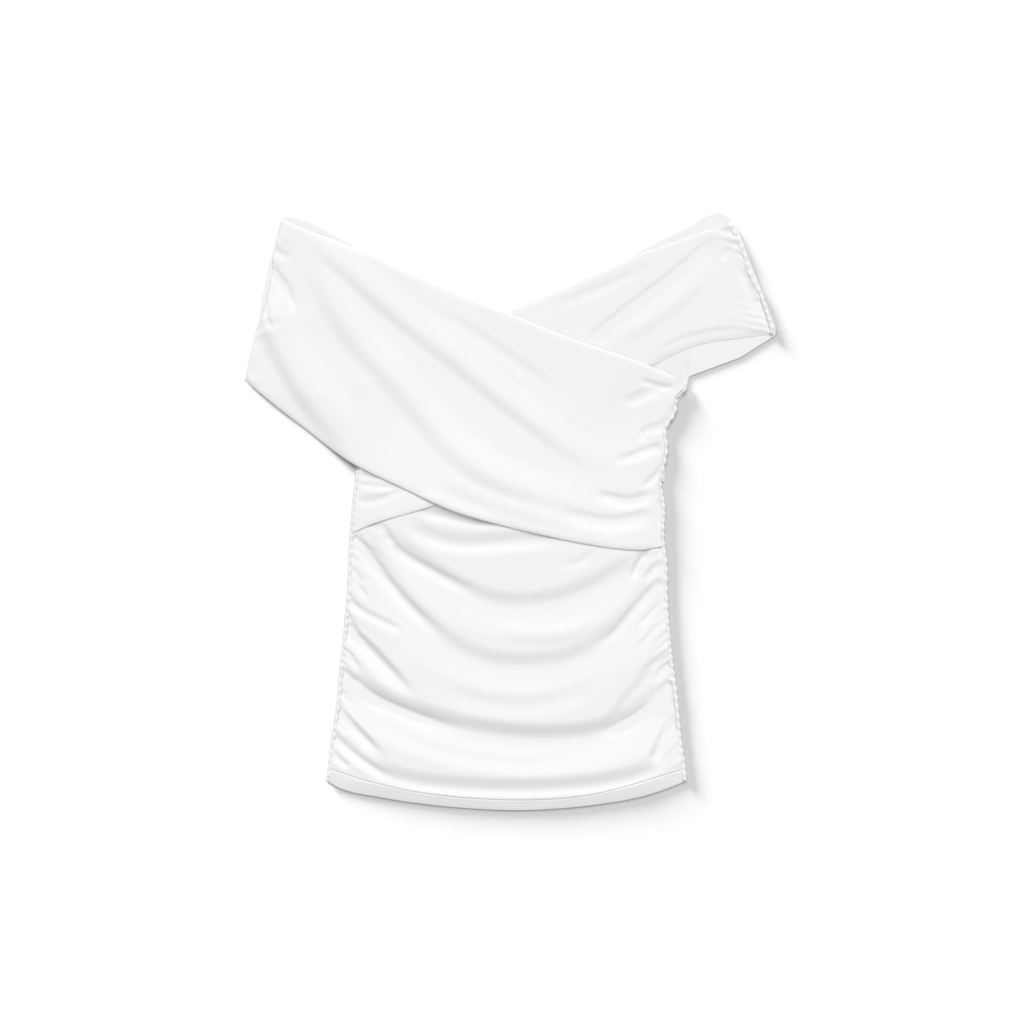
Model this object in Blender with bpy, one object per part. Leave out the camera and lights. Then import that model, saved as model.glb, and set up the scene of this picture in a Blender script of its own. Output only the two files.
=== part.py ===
"""Off-shoulder crossover top in white jersey, laid flat on its back.

Two folded bands cross over the bust, each from one shoulder to the opposite side seam, and lie on
a body that is ruched into both side seams and ends in a turned-up hem. A plain back band and a back
body lie underneath and rest on the surface.

Tables are in millimetres, seen from above: x to the right, y towards the neckline, measured from
the middle of the garment, and z up from the surface it lies on.
"""
from collections import namedtuple

import bmesh
import bpy
import numpy as np

MM = 0.001

# Driving sizes
WALL = 1.6              # one thickness of cloth
CLEARANCE = 0.4         # air between two pieces that touch
SEAM_WIDTH = 4.6        # overlocked edge of a gathered seam
SEAM_RIPPLE = 0.9       # how far its gathers stand up
BODY_LOFT = 5.5         # how far the ruched front stands off the back
BODY_LOFT_REACH = 42.0  # over this width it falls to the side seams
HEM_LOFT_REACH = 24.0   # and over this one to the hem's edge
COVERED_LOFT = 0.3      # share of the loft left under the crossed bands
BAND_END_AIR = 1.2      # air between a band's end and the seam it is gathered into
BAND_LOFT = 1.2         # slack of a band over what it lies on
DRAPE_REACH = 20.0      # a covering piece falls to the next layer over this width
DRAPE_SPREAD = 7.0      # and follows the highest point of the cloth within this distance
DRAPE_AIR = 0.7         # air between a draped piece and what it lies on
GATHER_RISE = 1.7       # height of a gather at a side seam
GATHER_REACH = 17.0     # how far it runs into the panel
GATHER_PITCH = 13.0     # mean spacing of the gathers
GATHER_LEAN = 0.45      # they run down into the panel at this slope
PUCKER_RISE = 1.8       # the same for the outer end of a shoulder
PUCKER_REACH = 26.0
PUCKER_PITCH = 27.0
GATHER_FADE = 12.0      # gathers fade out over this width beside a band
COVER_REACH = 34.0      # the loft falls to its covered share over this width
EDGE_REACH = 16.0       # a band's slack fades out over this width at its edges
SHOULDER_DEPTH = 60.0   # the end of a band that counts as its shoulder
LEFT_SEAM_TOP = 44.0    # where the side seams stop, in y
RIGHT_SEAM_TOP = 138.0

# Numbers of grid points across and along each piece
BACK_BAND_ROWS = 6
BACK_BODY_GRID = (14, 24)
BACK_HEM_GRID = (26, 3)
FRONT_SIDE_COLUMNS = (0.0, 0.016, 0.036, 0.062)   # shares of the width, close together for the gathers
FRONT_MIDDLE_COLUMNS = 19
FRONT_ROWS = 101
FRONT_HEM_GRID = (30, 4)
UNDER_BAND_GRID = (38, 16)
OVER_BAND_GRID = (42, 25)
LEFT_SEAM_ROWS = 90
RIGHT_SEAM_ROWS = 110
SHOULDER_SEAM_ROWS = 34
OUTLINE_GRID = (40, 14)

Point = namedtuple("Point", "x y")
Edge = namedtuple("Edge", "y x")
Bulge = namedtuple("Bulge", "along out")
Section = namedtuple("Section", "low_x low_y high_x high_y")
Fold = namedtuple("Fold", "rise upper_width lower_width fade path")

# Outer line of the side seams, from the hem up to the armpits
LEFT_SIDE = (
    Edge(-283.0, -195.5), Edge(-268.0, -193.5), Edge(-250.0, -191.5), Edge(-208.0, -185.5),
    Edge(-145.0, -179.0), Edge(-92.0, -174.0), Edge(-24.0, -170.5), Edge(13.0, -167.5),
    Edge(46.0, -163.5), Edge(138.0, -163.0),
)
RIGHT_SIDE = (
    Edge(-283.0, 183.5), Edge(-268.0, 182.0), Edge(-239.0, 178.0), Edge(-197.0, 174.0),
    Edge(-145.0, 167.5), Edge(-92.0, 163.5), Edge(-50.0, 162.5), Edge(-29.0, 160.0),
    Edge(12.0, 160.0), Edge(28.0, 157.0), Edge(44.0, 159.5), Edge(65.0, 163.5),
    Edge(86.0, 162.0), Edge(107.0, 173.0), Edge(118.0, 173.5), Edge(133.0, 184.0), Edge(139.0, 177.0),
)

# Lower edge of the hem and the line of stitches above it
HEM_EDGE = (
    Point(-196.0, -281.5), Point(-180.0, -290.0), Point(-138.0, -299.5), Point(-96.0, -306.0),
    Point(-44.0, -311.0), Point(9.0, -313.0), Point(51.0, -311.0), Point(93.0, -306.5),
    Point(135.0, -299.0), Point(166.0, -289.0), Point(184.0, -281.5),
)
HEM_STITCHES = (
    Point(-194.0, -268.0), Point(-159.0, -279.5), Point(-117.0, -290.0), Point(-65.0, -298.0),
    Point(-12.0, -301.5), Point(30.0, -301.5), Point(72.0, -298.0), Point(114.0, -289.0),
    Point(156.0, -276.5), Point(182.0, -269.0),
)
BAND_CORNER = ((118.0, 139.0), (166.5, 171.0))   # y and x: the over band's upper corner stays inside this
FRONT_TOP = (Point(-164.0, 52.0), Point(-60.0, 66.0), Point(60.0, 66.0), Point(159.0, 52.0))
BACK_SEAM_Y = 31.0      # where the back body is sewn to the back band

# Back band: neckline above, armpit notches below
BACK_NECKLINE = (
    Point(-277.0, 141.0), Point(-263.0, 222.0), Point(-249.0, 281.0), Point(-237.0, 311.0),
    Point(-226.0, 309.0), Point(-175.0, 284.5), Point(-96.0, 234.0), Point(-7.0, 197.0),
    Point(82.0, 235.0), Point(140.0, 277.0), Point(180.0, 296.0), Point(222.0, 313.0),
    Point(231.0, 305.0), Point(250.0, 262.0), Point(278.0, 190.0),
)
BACK_LOWER = (
    Point(-277.0, 137.0), Point(-222.0, 131.0), Point(-166.0, 137.0), Point(-163.0, 31.4),
    Point(160.0, 31.4), Point(163.0, 86.0), Point(173.0, 112.0), Point(183.5, 132.0),
    Point(186.0, 142.0), Point(240.0, 162.0), Point(278.0, 186.0),
)

# Bands, a row for each section across them
OVER_BAND = (
    Section(-277.0, 135.0, -237.0, 308.0), Section(-250.0, 112.0, -212.0, 296.0),
    Section(-222.0, 91.0, -175.0, 282.0), Section(-170.0, 52.5, -117.0, 256.0),
    Section(-117.0, 26.0, -60.0, 231.0), Section(-65.0, 2.0, -3.0, 208.5),
    Section(-12.0, -14.0, 50.0, 187.0), Section(30.0, -24.0, 91.0, 172.5),
    Section(75.0, -33.5, 122.0, 162.0), Section(110.0, -39.0, 146.0, 152.5),
    Section(135.0, -40.0, 162.0, 145.5), Section(154.0, -36.0, 172.0, 139.0),
)
OVER_LEFT_END = (
    Bulge(0.0, 0.0), Bulge(0.07, 4.0), Bulge(0.2, 4.5), Bulge(0.35, 1.5), Bulge(0.5, 1.2),
    Bulge(0.65, 4.0), Bulge(0.73, 2.4), Bulge(0.81, 4.6), Bulge(0.92, 4.0), Bulge(1.0, 0.0),
)
UNDER_BAND = (
    Section(-161.0, -22.0, -158.5, 139.0), Section(-138.0, -11.5, -117.0, 160.0),
    Section(-75.0, 9.5, -65.0, 183.0), Section(9.0, 60.0, -7.0, 210.0),
    Section(60.0, 96.0, 30.0, 225.0), Section(93.0, 118.0, 93.0, 252.0),
    Section(151.0, 154.5, 145.0, 275.0), Section(198.0, 175.5, 190.0, 290.5),
    Section(240.0, 182.0, 214.0, 299.5), Section(271.5, 186.5, 227.0, 303.0),
)
UNDER_RIGHT_END = (
    Bulge(0.0, 0.0), Bulge(0.12, 2.5), Bulge(0.33, 3.6), Bulge(0.45, 1.6), Bulge(0.58, 0.2),
    Bulge(0.72, 2.2), Bulge(0.85, 1.4), Bulge(1.0, 0.0),
)

# Folds of the ruched front. Negative rows are troughs, and paths run from left to right
BODY_FOLDS = (
    Fold(-3.5, 12.0, 12.0, 0.25, (Point(-117, -3), Point(-91, -24), Point(-54, -33), Point(51, -26))),
    Fold(-4.4, 20.0, 30.0, 0.16, (Point(-138, -16), Point(-65, -71), Point(-12, -95), Point(51, -90),
                                  Point(103, -69), Point(143, -46))),
    Fold(-4.4, 16.0, 30.0, 0.10, (Point(-165, -25), Point(-128, -76), Point(-86, -122), Point(-44, -154),
                                  Point(19, -163), Point(82, -147), Point(124, -110), Point(156, -72))),
    Fold(-3.2, 9.0, 14.0, 0.25, (Point(-174, -121), Point(-139, -154), Point(-98, -198))),
    Fold(-5.6, 22.0, 32.0, 0.10, (Point(-178, -168), Point(-143, -201), Point(-80, -223), Point(-12, -236),
                                  Point(51, -239), Point(93, -233), Point(135, -212), Point(167, -179))),
    Fold(-2.8, 8.0, 11.0, 0.25, (Point(-185, -205), Point(-158, -233), Point(-130, -262))),
    Fold(-4.6, 17.0, 9.0, 0.10, (Point(-184, -230), Point(-159, -254), Point(-117, -275), Point(-59, -288),
                                 Point(-2, -291), Point(61, -289), Point(109, -282), Point(156, -262))),
    Fold(-2.6, 12.0, 26.0, 0.25, (Point(95, -233), Point(121, -198), Point(164, -143))),
    Fold(-3.0, 8.0, 8.0, 0.30, (Point(124, -71), Point(132, -52), Point(146, -36))),
    Fold(-2.2, 9.0, 11.0, 0.30, (Point(147, -255), Point(158, -234), Point(170, -210))),
)
OVER_FOLDS = (
    Fold(3.2, 22.0, 13.0, 0.20, (Point(-222, 298), Point(-167, 250), Point(-96, 189), Point(-12, 122),
                                 Point(63, 65), Point(124, 40))),
    Fold(3.6, 26.0, 17.0, 0.20, (Point(-214, 286), Point(-182, 210), Point(-125, 143), Point(-62, 69),
                                 Point(9, 27), Point(67, 13), Point(124, 8))),
    Fold(5.0, 34.0, 18.0, 0.22, (Point(-262, 233), Point(-239, 166), Point(-203, 109), Point(-163, 59))),
    Fold(2.4, 12.0, 10.0, 0.30, (Point(100, 96), Point(135, 108), Point(165, 116))),
    Fold(2.4, 11.0, 9.0, 0.30, (Point(96, 58), Point(128, 64), Point(157, 74))),
    Fold(2.4, 12.0, 9.0, 0.30, (Point(88, 28), Point(126, 30), Point(152, 40))),
)
UNDER_FOLDS = (
    Fold(-2.0, 7.0, 14.0, 0.18, (Point(76, 181), Point(114, 207), Point(156, 240), Point(215, 290))),
    Fold(1.6, 12.0, 12.0, 0.30, (Point(-158, 4), Point(-135, 14), Point(-98, 30))),
    Fold(1.6, 8.0, 8.0, 0.30, (Point(-158, 34), Point(-140, 34), Point(-115, 38))),
)

COLOURS = {
    "front": (0.88, 0.88, 0.87, 1.0), "back": (0.86, 0.86, 0.85, 1.0),
    "band": (0.89, 0.89, 0.88, 1.0), "seam": (0.84, 0.84, 0.83, 1.0),
}


def smooth_rows(rows, count):
    """Values at even steps along a smooth curve through the rows of a table."""
    rows = np.array(rows, float)
    knots = np.concatenate(([0.0], np.cumsum(np.linalg.norm(np.diff(rows, axis=0), axis=1))))
    slopes = np.gradient(rows, knots, axis=0)
    at = np.linspace(0.0, knots[-1], count)
    row = np.clip(np.searchsorted(knots, at, side="right") - 1, 0, len(knots) - 2)
    step = (knots[row + 1] - knots[row])[:, None]
    t = (at - knots[row])[:, None] / step
    return ((1 + 2 * t) * (1 - t) ** 2 * rows[row] + t * (1 - t) ** 2 * step * slopes[row]
            + t * t * (3 - 2 * t) * rows[row + 1] - t * t * (1 - t) * step * slopes[row + 1])


def read_smooth(table, at, samples=400):
    """The second column of a table as a smooth function of the first."""
    curve = smooth_rows([tuple(row) for row in table], samples)
    return np.interp(at, curve[:, 0], curve[:, 1])


def ease(t):
    t = np.clip(t, 0.0, 1.0)
    return t * t * (3.0 - 2.0 * t)


def left_side(y):
    return read_smooth(LEFT_SIDE, y)


def right_side(y):
    return read_smooth(RIGHT_SIDE, y)


def nearest(points, path):
    """Distance of each point to a path, how far along it that is, and which side it lies on."""
    start = path[:-1]
    run = np.diff(path, axis=0)
    length2 = np.maximum((run ** 2).sum(1), 1e-9)
    offset = points[:, None, :] - start[None, :, :]
    t = np.clip((offset * run).sum(2) / length2, 0.0, 1.0)
    gap = offset - t[:, :, None] * run
    distance2 = (gap ** 2).sum(2)
    best = distance2.argmin(1)
    index = np.arange(len(points))
    done = np.concatenate(([0.0], np.cumsum(np.sqrt(length2))))
    along = (done[best] + t[index, best] * np.sqrt(length2[best])) / done[-1]
    side = run[best, 0] * gap[index, best, 1] - run[best, 1] * gap[index, best, 0]
    return np.sqrt(distance2[index, best]), along, side


def fold_heights(points, folds):
    """Sum of the folds' ridges and troughs at each point."""
    total = np.zeros(len(points))
    for fold in folds:
        distance, along, side = nearest(points, smooth_rows(fold.path, 24))
        width = np.where(side > 0, fold.upper_width, fold.lower_width)
        profile = 0.5 + 0.5 * np.cos(np.pi * np.minimum(distance / width, 1.0))
        total += fold.rise * profile * ease(along / fold.fade) * ease((1.0 - along) / fold.fade)
    return total


def depth_inside(points, outline):
    """Signed distance to an outline, positive inside it."""
    distance, _, _ = nearest(points, np.vstack((outline, outline[:1])))
    x, y = points[:, 0, None], points[:, 1, None]
    start, end = outline, np.roll(outline, -1, axis=0)
    crosses = (start[:, 1] > y) != (end[:, 1] > y)
    rise = np.where(end[:, 1] == start[:, 1], 1e-9, end[:, 1] - start[:, 1])
    cut = start[:, 0] + (y - start[:, 1]) / rise * (end[:, 0] - start[:, 0])
    odd = (crosses & (x < cut)).sum(1) % 2
    return np.where(odd == 1, distance, -distance)


def covering(points, outline):
    """1 over a piece, falling to 0 a little way outside it."""
    return ease(1.0 + depth_inside(points, outline) / DRAPE_REACH)


def between_edges(low, high, rows):
    """Grid of points from a low edge to a high edge."""
    across = np.linspace(0.0, 1.0, rows)[:, None, None]
    return low[None, :, :] * (1 - across) + high[None, :, :] * across


def bow_end(grid, end, shift):
    """Moves one end of a grid sideways, and the columns next to it less and less."""
    u = np.linspace(0.0, 1.0, grid.shape[1])
    nearness = ease(1 - u * 5) if end == 0 else ease(u * 5 - 4)
    grid[:, :, 0] += shift[:, None] * nearness[None, :]
    return grid


def side_to_side(left, right, low, high, u, rows):
    """Grid of points between two side lines x(y), from a low line y(x) to a high line y(x)."""
    v = np.linspace(0.0, 1.0, rows)
    y = np.zeros((rows, len(u)))
    for _ in range(3):
        x = left(y) * (1 - u) + right(y) * u
        y = low(x) * (1 - v)[:, None] + high(x) * v[:, None]
    return np.stack((left(y) * (1 - u) + right(y) * u, y), axis=2)


def rim(grid):
    """The outline of a grid, once round it."""
    return np.vstack((grid[0], grid[1:, -1], grid[-1, -2::-1], grid[-2:0:-1, 0]))


def hem_edge(x):
    return read_smooth(HEM_EDGE, x)


def hem_stitches(x):
    return read_smooth(HEM_STITCHES, x)


def front_left(y):
    return left_side(y) + SEAM_WIDTH


def front_right(y):
    return right_side(y) - SEAM_WIDTH


def body_columns(fine, coarse):
    """Column places across a body panel, closer together beside the seams."""
    side = np.array(fine)
    middle = np.linspace(side[-1], 1.0 - side[-1], coarse + 1)
    return np.concatenate((side[:-1], middle, (1.0 - side[:-1])[::-1]))


def over_band_plan(columns, rows):
    line = smooth_rows(OVER_BAND, columns)
    grid = between_edges(line[:, :2], line[:, 2:], rows)
    grid = bow_end(grid, 0, -read_smooth(OVER_LEFT_END, np.linspace(0.0, 1.0, rows)))
    y = grid[:, -1, 1]
    seam = np.minimum(front_right(y), np.interp(y, *BAND_CORNER)) - BAND_END_AIR
    return bow_end(grid, -1, seam - grid[:, -1, 0])


def under_band_plan(columns, rows):
    line = smooth_rows(UNDER_BAND, columns)
    grid = between_edges(line[:, :2], line[:, 2:], rows)
    grid = bow_end(grid, 0, front_left(grid[:, 0, 1]) + BAND_END_AIR - grid[:, 0, 0])
    return bow_end(grid, -1, read_smooth(UNDER_RIGHT_END, np.linspace(0.0, 1.0, rows)))


def front_top(x):
    return read_smooth(FRONT_TOP, x)


OVER_OUTLINE = rim(over_band_plan(*OUTLINE_GRID))
UNDER_OUTLINE = rim(under_band_plan(*OUTLINE_GRID))
FRONT_OUTLINE = rim(side_to_side(left_side, right_side, hem_edge, front_top, np.linspace(0, 1, 24), 40))
BACK_LINE = np.vstack((smooth_rows(BACK_NECKLINE, 60), np.array(BACK_LOWER)[::-1]))


def gathers(distance, along, pitch, reach, rise):
    """Uneven gathers that die away from the seam they start at."""
    turn = along / pitch + 0.4 * np.sin(along / 29.0) + 0.2 * np.sin(along / 11.0)
    size = 0.65 + 0.35 * np.sin(along / 37.0 + 1.0)
    return rise * size * (0.5 + 0.5 * np.cos(2 * np.pi * turn)) * np.exp(-(distance / reach) ** 2)


def body_gathers(points):
    x, y = points[:, 0], points[:, 1]
    left = x - front_left(y)
    right = front_right(y) - x
    below_bands = ease(1.0 - depth_inside(points, OVER_OUTLINE) / GATHER_FADE)
    both = (gathers(left, y + GATHER_LEAN * left, GATHER_PITCH, GATHER_REACH, GATHER_RISE)
            + gathers(right, y + GATHER_LEAN * right + 7.0, GATHER_PITCH, GATHER_REACH, GATHER_RISE))
    return both * below_bands * ease((y - hem_stitches(x)) / GATHER_FADE)


def front_underside(points):
    """Underside of the front: lofted, troughed, and low again at its seams and at the hem's edge."""
    x, y = points[:, 0], points[:, 1]
    beside = ease(np.minimum(x - left_side(y), right_side(y) - x) / BODY_LOFT_REACH)
    above_edge = ease((y - hem_edge(x)) / HEM_LOFT_REACH)
    covered = np.maximum(depth_inside(points, OVER_OUTLINE), depth_inside(points, UNDER_OUTLINE))
    shown = COVERED_LOFT + (1 - COVERED_LOFT) * (1 - ease(covered / COVER_REACH))
    slack = BODY_LOFT * beside + fold_heights(points, BODY_FOLDS) * np.sqrt(beside)
    return WALL + CLEARANCE + np.maximum(slack, 0.0) * above_edge * shown


def front_height(points):
    return front_underside(points) + WALL + body_gathers(points)


def highest_nearby(height, points):
    """Highest value of a height within a short distance of each point."""
    steps = DRAPE_SPREAD * np.array([(0, 0), (1, 0), (-1, 0), (0, 1), (0, -1), (.7, .7), (-.7, -.7)])
    return np.max([height(points + step) for step in steps], axis=0)


def over_back(points):
    """Lowest place for a piece that lies on the back."""
    return CLEARANCE + WALL * covering(points, BACK_LINE)


def laid_on(points, floor, height, outline):
    """Raises a lowest place where one more layer lies under it."""
    over = covering(points, outline)
    return floor * (1 - over) + np.maximum(floor, highest_nearby(height, points) + DRAPE_AIR) * over


def under_band_underside(points):
    floor = laid_on(points, over_back(points), front_height, FRONT_OUTLINE)
    inner = ease(depth_inside(points, UNDER_OUTLINE) / EDGE_REACH)
    shown = COVERED_LOFT + (1 - COVERED_LOFT) * ease(1.0 - depth_inside(points, OVER_OUTLINE) / EDGE_REACH)
    return floor + np.maximum(BAND_LOFT + fold_heights(points, UNDER_FOLDS), 0.0) * inner * shown


def under_band_height(points):
    return under_band_underside(points) + WALL + shoulder_puckers(points, UNDER_OUTLINE, 1)


def shoulder_puckers(points, outline, side):
    """Gathers at the outer end of a shoulder, on the side that is given."""
    end = outline[outline[:, 0] * side > (outline[:, 0] * side).max() - SHOULDER_DEPTH]
    line = end[np.argsort(end[:, 1])]
    inward = side * (np.interp(points[:, 1], line[:, 1], line[:, 0]) - points[:, 0])
    near = gathers(np.maximum(inward, 0.0), points[:, 1], PUCKER_PITCH, PUCKER_REACH, PUCKER_RISE)
    return near * ease(depth_inside(points, outline) / SEAM_WIDTH)


def over_band_underside(points):
    floor = laid_on(points, over_back(points), front_height, FRONT_OUTLINE)
    floor = laid_on(points, floor, under_band_height, UNDER_OUTLINE)
    inner = ease(depth_inside(points, OVER_OUTLINE) / EDGE_REACH)
    return floor + np.maximum(BAND_LOFT + fold_heights(points, OVER_FOLDS), 0.0) * inner


def over_band_height(points):
    return over_band_underside(points) + WALL + shoulder_puckers(points, OVER_OUTLINE, -1)


def flat_back(points):
    return np.zeros(len(points))


def back_height(points):
    return np.full(len(points), WALL)


def seam_underside(points):
    return np.full(len(points), WALL + CLEARANCE)


def seam_height(points):
    y = points[:, 1]
    ripple = 0.5 + 0.5 * np.cos(2 * np.pi * (y / GATHER_PITCH + 0.4 * np.sin(y / 29.0)))
    return seam_underside(points) + WALL * 0.8 + SEAM_RIPPLE * ripple


def wall(name, plan, underside, height, colour, fine=()):
    """One closed wall over a grid of plan points, triangulated finer in the columns named fine."""
    rows, columns, _ = plan.shape
    step = 2 if fine else 1
    flat = plan.reshape(-1, 2)
    levels = (underside(flat).reshape(rows, columns), height(flat).reshape(rows, columns))
    mesh = bmesh.new()
    corner = {}

    def at(layer, row, column):
        key = (layer, row, column)
        if key not in corner:
            x, y = plan[row, column]
            corner[key] = mesh.verts.new((x * MM, y * MM, levels[layer][row, column] * MM))
        return corner[key]

    def upright(layer, row, column):
        rows_here = range(row, row + step + 1) if layer and column in fine else (row, row + step)
        return [at(layer, place, column) for place in rows_here]

    for row in range(0, rows - 1, step):
        for column in range(columns - 1):
            low, high = upright(1, row, column), upright(1, row, column + 1)
            if step == 2 and len(low) == len(high) == 3:
                for k in (0, 1):
                    mesh.faces.new((low[k], high[k], high[k + 1], low[k + 1]))
            else:
                mesh.faces.new([low[0]] + high + low[:0:-1])
            low, high = upright(0, row, column), upright(0, row, column + 1)
            mesh.faces.new((low[0], low[1], high[1], high[0]))
        mesh.faces.new(upright(1, row, 0) + upright(0, row, 0)[::-1])
        mesh.faces.new(upright(0, row, columns - 1) + upright(1, row, columns - 1)[::-1])
    last = rows - 1
    for column in range(columns - 1):
        mesh.faces.new((at(0, 0, column), at(0, 0, column + 1), at(1, 0, column + 1), at(1, 0, column)))
        mesh.faces.new((at(1, last, column), at(1, last, column + 1), at(0, last, column + 1),
                        at(0, last, column)))
    bmesh.ops.recalc_face_normals(mesh, faces=mesh.faces)
    data = bpy.data.meshes.new(name)
    mesh.to_mesh(data)
    mesh.free()
    data.shade_smooth()
    data.set_sharp_from_angle(angle=0.9)
    piece = bpy.data.objects.new(name, data)
    bpy.context.scene.collection.objects.link(piece)
    data.materials.append(jersey(name, COLOURS[colour]))
    return piece


def jersey(name, colour):
    """Matte white cotton jersey."""
    material = bpy.data.materials.new("jersey_" + name)
    material.use_nodes = True
    shader = material.node_tree.nodes["Principled BSDF"]
    shader.inputs["Base Color"].default_value = colour
    shader.inputs["Roughness"].default_value = 0.9
    shader.inputs["Metallic"].default_value = 0.0
    return material


def level_line(height):
    """A straight line across the garment, as a function of x."""
    return lambda x: np.full_like(x, height)


def stitches_cleared(x):
    """The line of stitches, with the air that a panel above it leaves to the hem."""
    return hem_stitches(x) + CLEARANCE


def make_back():
    corners = [point.x for point in BACK_LOWER]
    x = np.concatenate((np.linspace(-276.5, corners[2] - 2.0, 9), corners[2:4], np.linspace(-150.0, 145.0, 19),
                        corners[4:9], np.linspace(corners[8] + 10.0, 278.0, 9)))
    low = np.stack((x, np.interp(x, corners, [point.y for point in BACK_LOWER])), axis=1)
    high = np.stack((x, read_smooth(BACK_NECKLINE, x)), axis=1)
    wall("back_band", between_edges(low, high, BACK_BAND_ROWS), flat_back, back_height, "back")
    columns, rows = BACK_BODY_GRID
    plan = side_to_side(left_side, right_side, stitches_cleared, level_line(BACK_SEAM_Y),
                        np.linspace(0.0, 1.0, columns), rows)
    wall("back_body", plan, flat_back, back_height, "back")
    columns, rows = BACK_HEM_GRID
    plan = side_to_side(left_side, right_side, hem_edge, hem_stitches, np.linspace(0.0, 1.0, columns), rows)
    wall("back_hem", plan, flat_back, back_height, "back")


def make_front():
    columns = body_columns(FRONT_SIDE_COLUMNS, FRONT_MIDDLE_COLUMNS)
    plan = side_to_side(front_left, front_right, stitches_cleared, front_top, columns, FRONT_ROWS)
    beside = len(FRONT_SIDE_COLUMNS)
    fine = set(range(beside)) | set(range(len(columns) - beside, len(columns)))
    wall("front_body", plan, front_underside, front_height, "front", fine)
    columns, rows = FRONT_HEM_GRID
    plan = side_to_side(front_left, front_right, hem_edge, hem_stitches, np.linspace(0.0, 1.0, columns), rows)
    wall("front_hem", plan, front_underside, front_height, "front")


def make_bands():
    wall("under_band", under_band_plan(*UNDER_BAND_GRID), under_band_underside, under_band_height, "band")
    wall("over_band", over_band_plan(*OVER_BAND_GRID), over_band_underside, over_band_height, "band")


def make_seams():
    width = SEAM_WIDTH - CLEARANCE
    both_edges = np.array((0.0, 1.0))
    plan = side_to_side(left_side, lambda y: left_side(y) + width, hem_edge, level_line(LEFT_SEAM_TOP),
                        both_edges, LEFT_SEAM_ROWS)
    wall("side_seam_left", plan, seam_underside, seam_height, "seam")
    plan = side_to_side(lambda y: right_side(y) - width, right_side, hem_edge, level_line(RIGHT_SEAM_TOP),
                        both_edges, RIGHT_SEAM_ROWS)
    wall("side_seam_right", plan, seam_underside, seam_height, "seam")
    end = under_band_plan(UNDER_BAND_GRID[0], SHOULDER_SEAM_ROWS)[:, -1]
    plan = np.stack((end + (BAND_END_AIR, 0.0), end + (SEAM_WIDTH, 0.0)), axis=1)
    wall("shoulder_seam", plan, seam_underside, seam_height, "seam")


def main():
    for leftover in list(bpy.data.objects):
        bpy.data.objects.remove(leftover, do_unlink=True)
    make_back()
    make_front()
    make_bands()
    make_seams()


main()
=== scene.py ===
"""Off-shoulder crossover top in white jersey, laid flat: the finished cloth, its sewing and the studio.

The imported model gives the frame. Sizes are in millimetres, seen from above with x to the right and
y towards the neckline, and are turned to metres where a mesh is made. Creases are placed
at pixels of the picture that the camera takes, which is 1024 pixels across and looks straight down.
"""
import math
from collections import namedtuple

import bpy
import numpy as np
from bpy.props import FloatProperty, FloatVectorProperty, PointerProperty
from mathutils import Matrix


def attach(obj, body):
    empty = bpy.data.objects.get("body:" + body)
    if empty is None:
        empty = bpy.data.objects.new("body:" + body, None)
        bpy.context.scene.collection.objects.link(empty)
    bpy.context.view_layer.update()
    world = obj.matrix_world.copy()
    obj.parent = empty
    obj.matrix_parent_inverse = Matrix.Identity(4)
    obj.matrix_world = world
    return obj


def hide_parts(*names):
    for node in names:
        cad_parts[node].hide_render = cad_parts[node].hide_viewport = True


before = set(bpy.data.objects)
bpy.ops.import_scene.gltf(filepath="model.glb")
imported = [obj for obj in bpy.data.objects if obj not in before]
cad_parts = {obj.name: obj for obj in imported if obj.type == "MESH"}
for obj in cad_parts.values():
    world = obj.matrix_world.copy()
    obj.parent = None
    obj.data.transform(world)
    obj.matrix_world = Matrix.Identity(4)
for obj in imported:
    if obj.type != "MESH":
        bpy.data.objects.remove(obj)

bl_info = {
    "name": "Crossover Top",
    "version": (1, 0, 0),
    "blender": (4, 5, 0),
    "location": "3D View > Sidebar > Crossover Top",
    "description": "Builds an off-shoulder crossover top in white jersey, laid flat",
    "category": "Object",
}

Point = namedtuple("Point", "x y")
Edge = namedtuple("Edge", "y x")
Bulge = namedtuple("Bulge", "along out")
Section = namedtuple("Section", "low_x low_y high_x high_y")
Pixel = namedtuple("Pixel", "px py")
Fold = namedtuple("Fold", "rise upper lower start end path")
Gather = namedtuple("Gather", "pitch reach rise lean shift")
Size = namedtuple("Size", "across up")
Fade = namedtuple("Fade", "start width")
Wave = namedtuple("Wave", "size length phase")
Crumple = namedtuple("Crumple", "scale height")

MM = 0.001
PIXEL_SIZE = 1.05        # millimetres that one pixel of the picture covers
PICTURE_MIDDLE = (511.5, 512.0)
PICTURE_WIDTH = 1024

# Levels of the layers above the surface, and the thickness of the cloth
BACK_TOP = 1.6
AIR = 0.3
PLY = 0.8                # one thickness of jersey
FOLDED = 1.1             # a band or a hem, folded double
SEAM_WIDTH = 4.6
TUCK = 1.1               # how far cloth runs in under a seam edge
HEM_HEIGHT = 13.0        # from the folded edge to the stitches
SEAM_LEVEL = 2.3         # middle of a side seam above the back
SEAM_PITCH = 8.5         # from one ripple of a seam edge to the next
SEAM_FLATNESS = 0.85     # height of a seam edge as a share of its width
RIPPLE_SIDE = 0.35       # how far a ripple moves the edge outwards, upwards, and as a share of its width
RIPPLE_RISE = 0.3
RIPPLE_WIDTH = 0.10
RIPPLE_WANDER = Wave(0.4, 23.0, 0.0)
LACE_PITCH = 2.6         # from one turn of the overlock thread to the next
LACE_POINTS = 6          # points in each turn
LACE_REACH = 0.86        # the thread swings out to this share of the edge's half width
LACE_BOW = 0.74          # and comes down by this share of its height squared
LACE_SINK = 0.02
THREAD = 0.22            # radius of the overlock thread
THREAD_SIDES = 5
STITCH_THREAD = 0.32     # radius of the hem's thicker thread
STITCH_ROWS = (0.9, -2.1)            # the two rows, beside the line where hem and body meet
STITCH_SHARE = 0.72      # share of each stitch that shows before it goes under
STITCH_POINTS = 6
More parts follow.
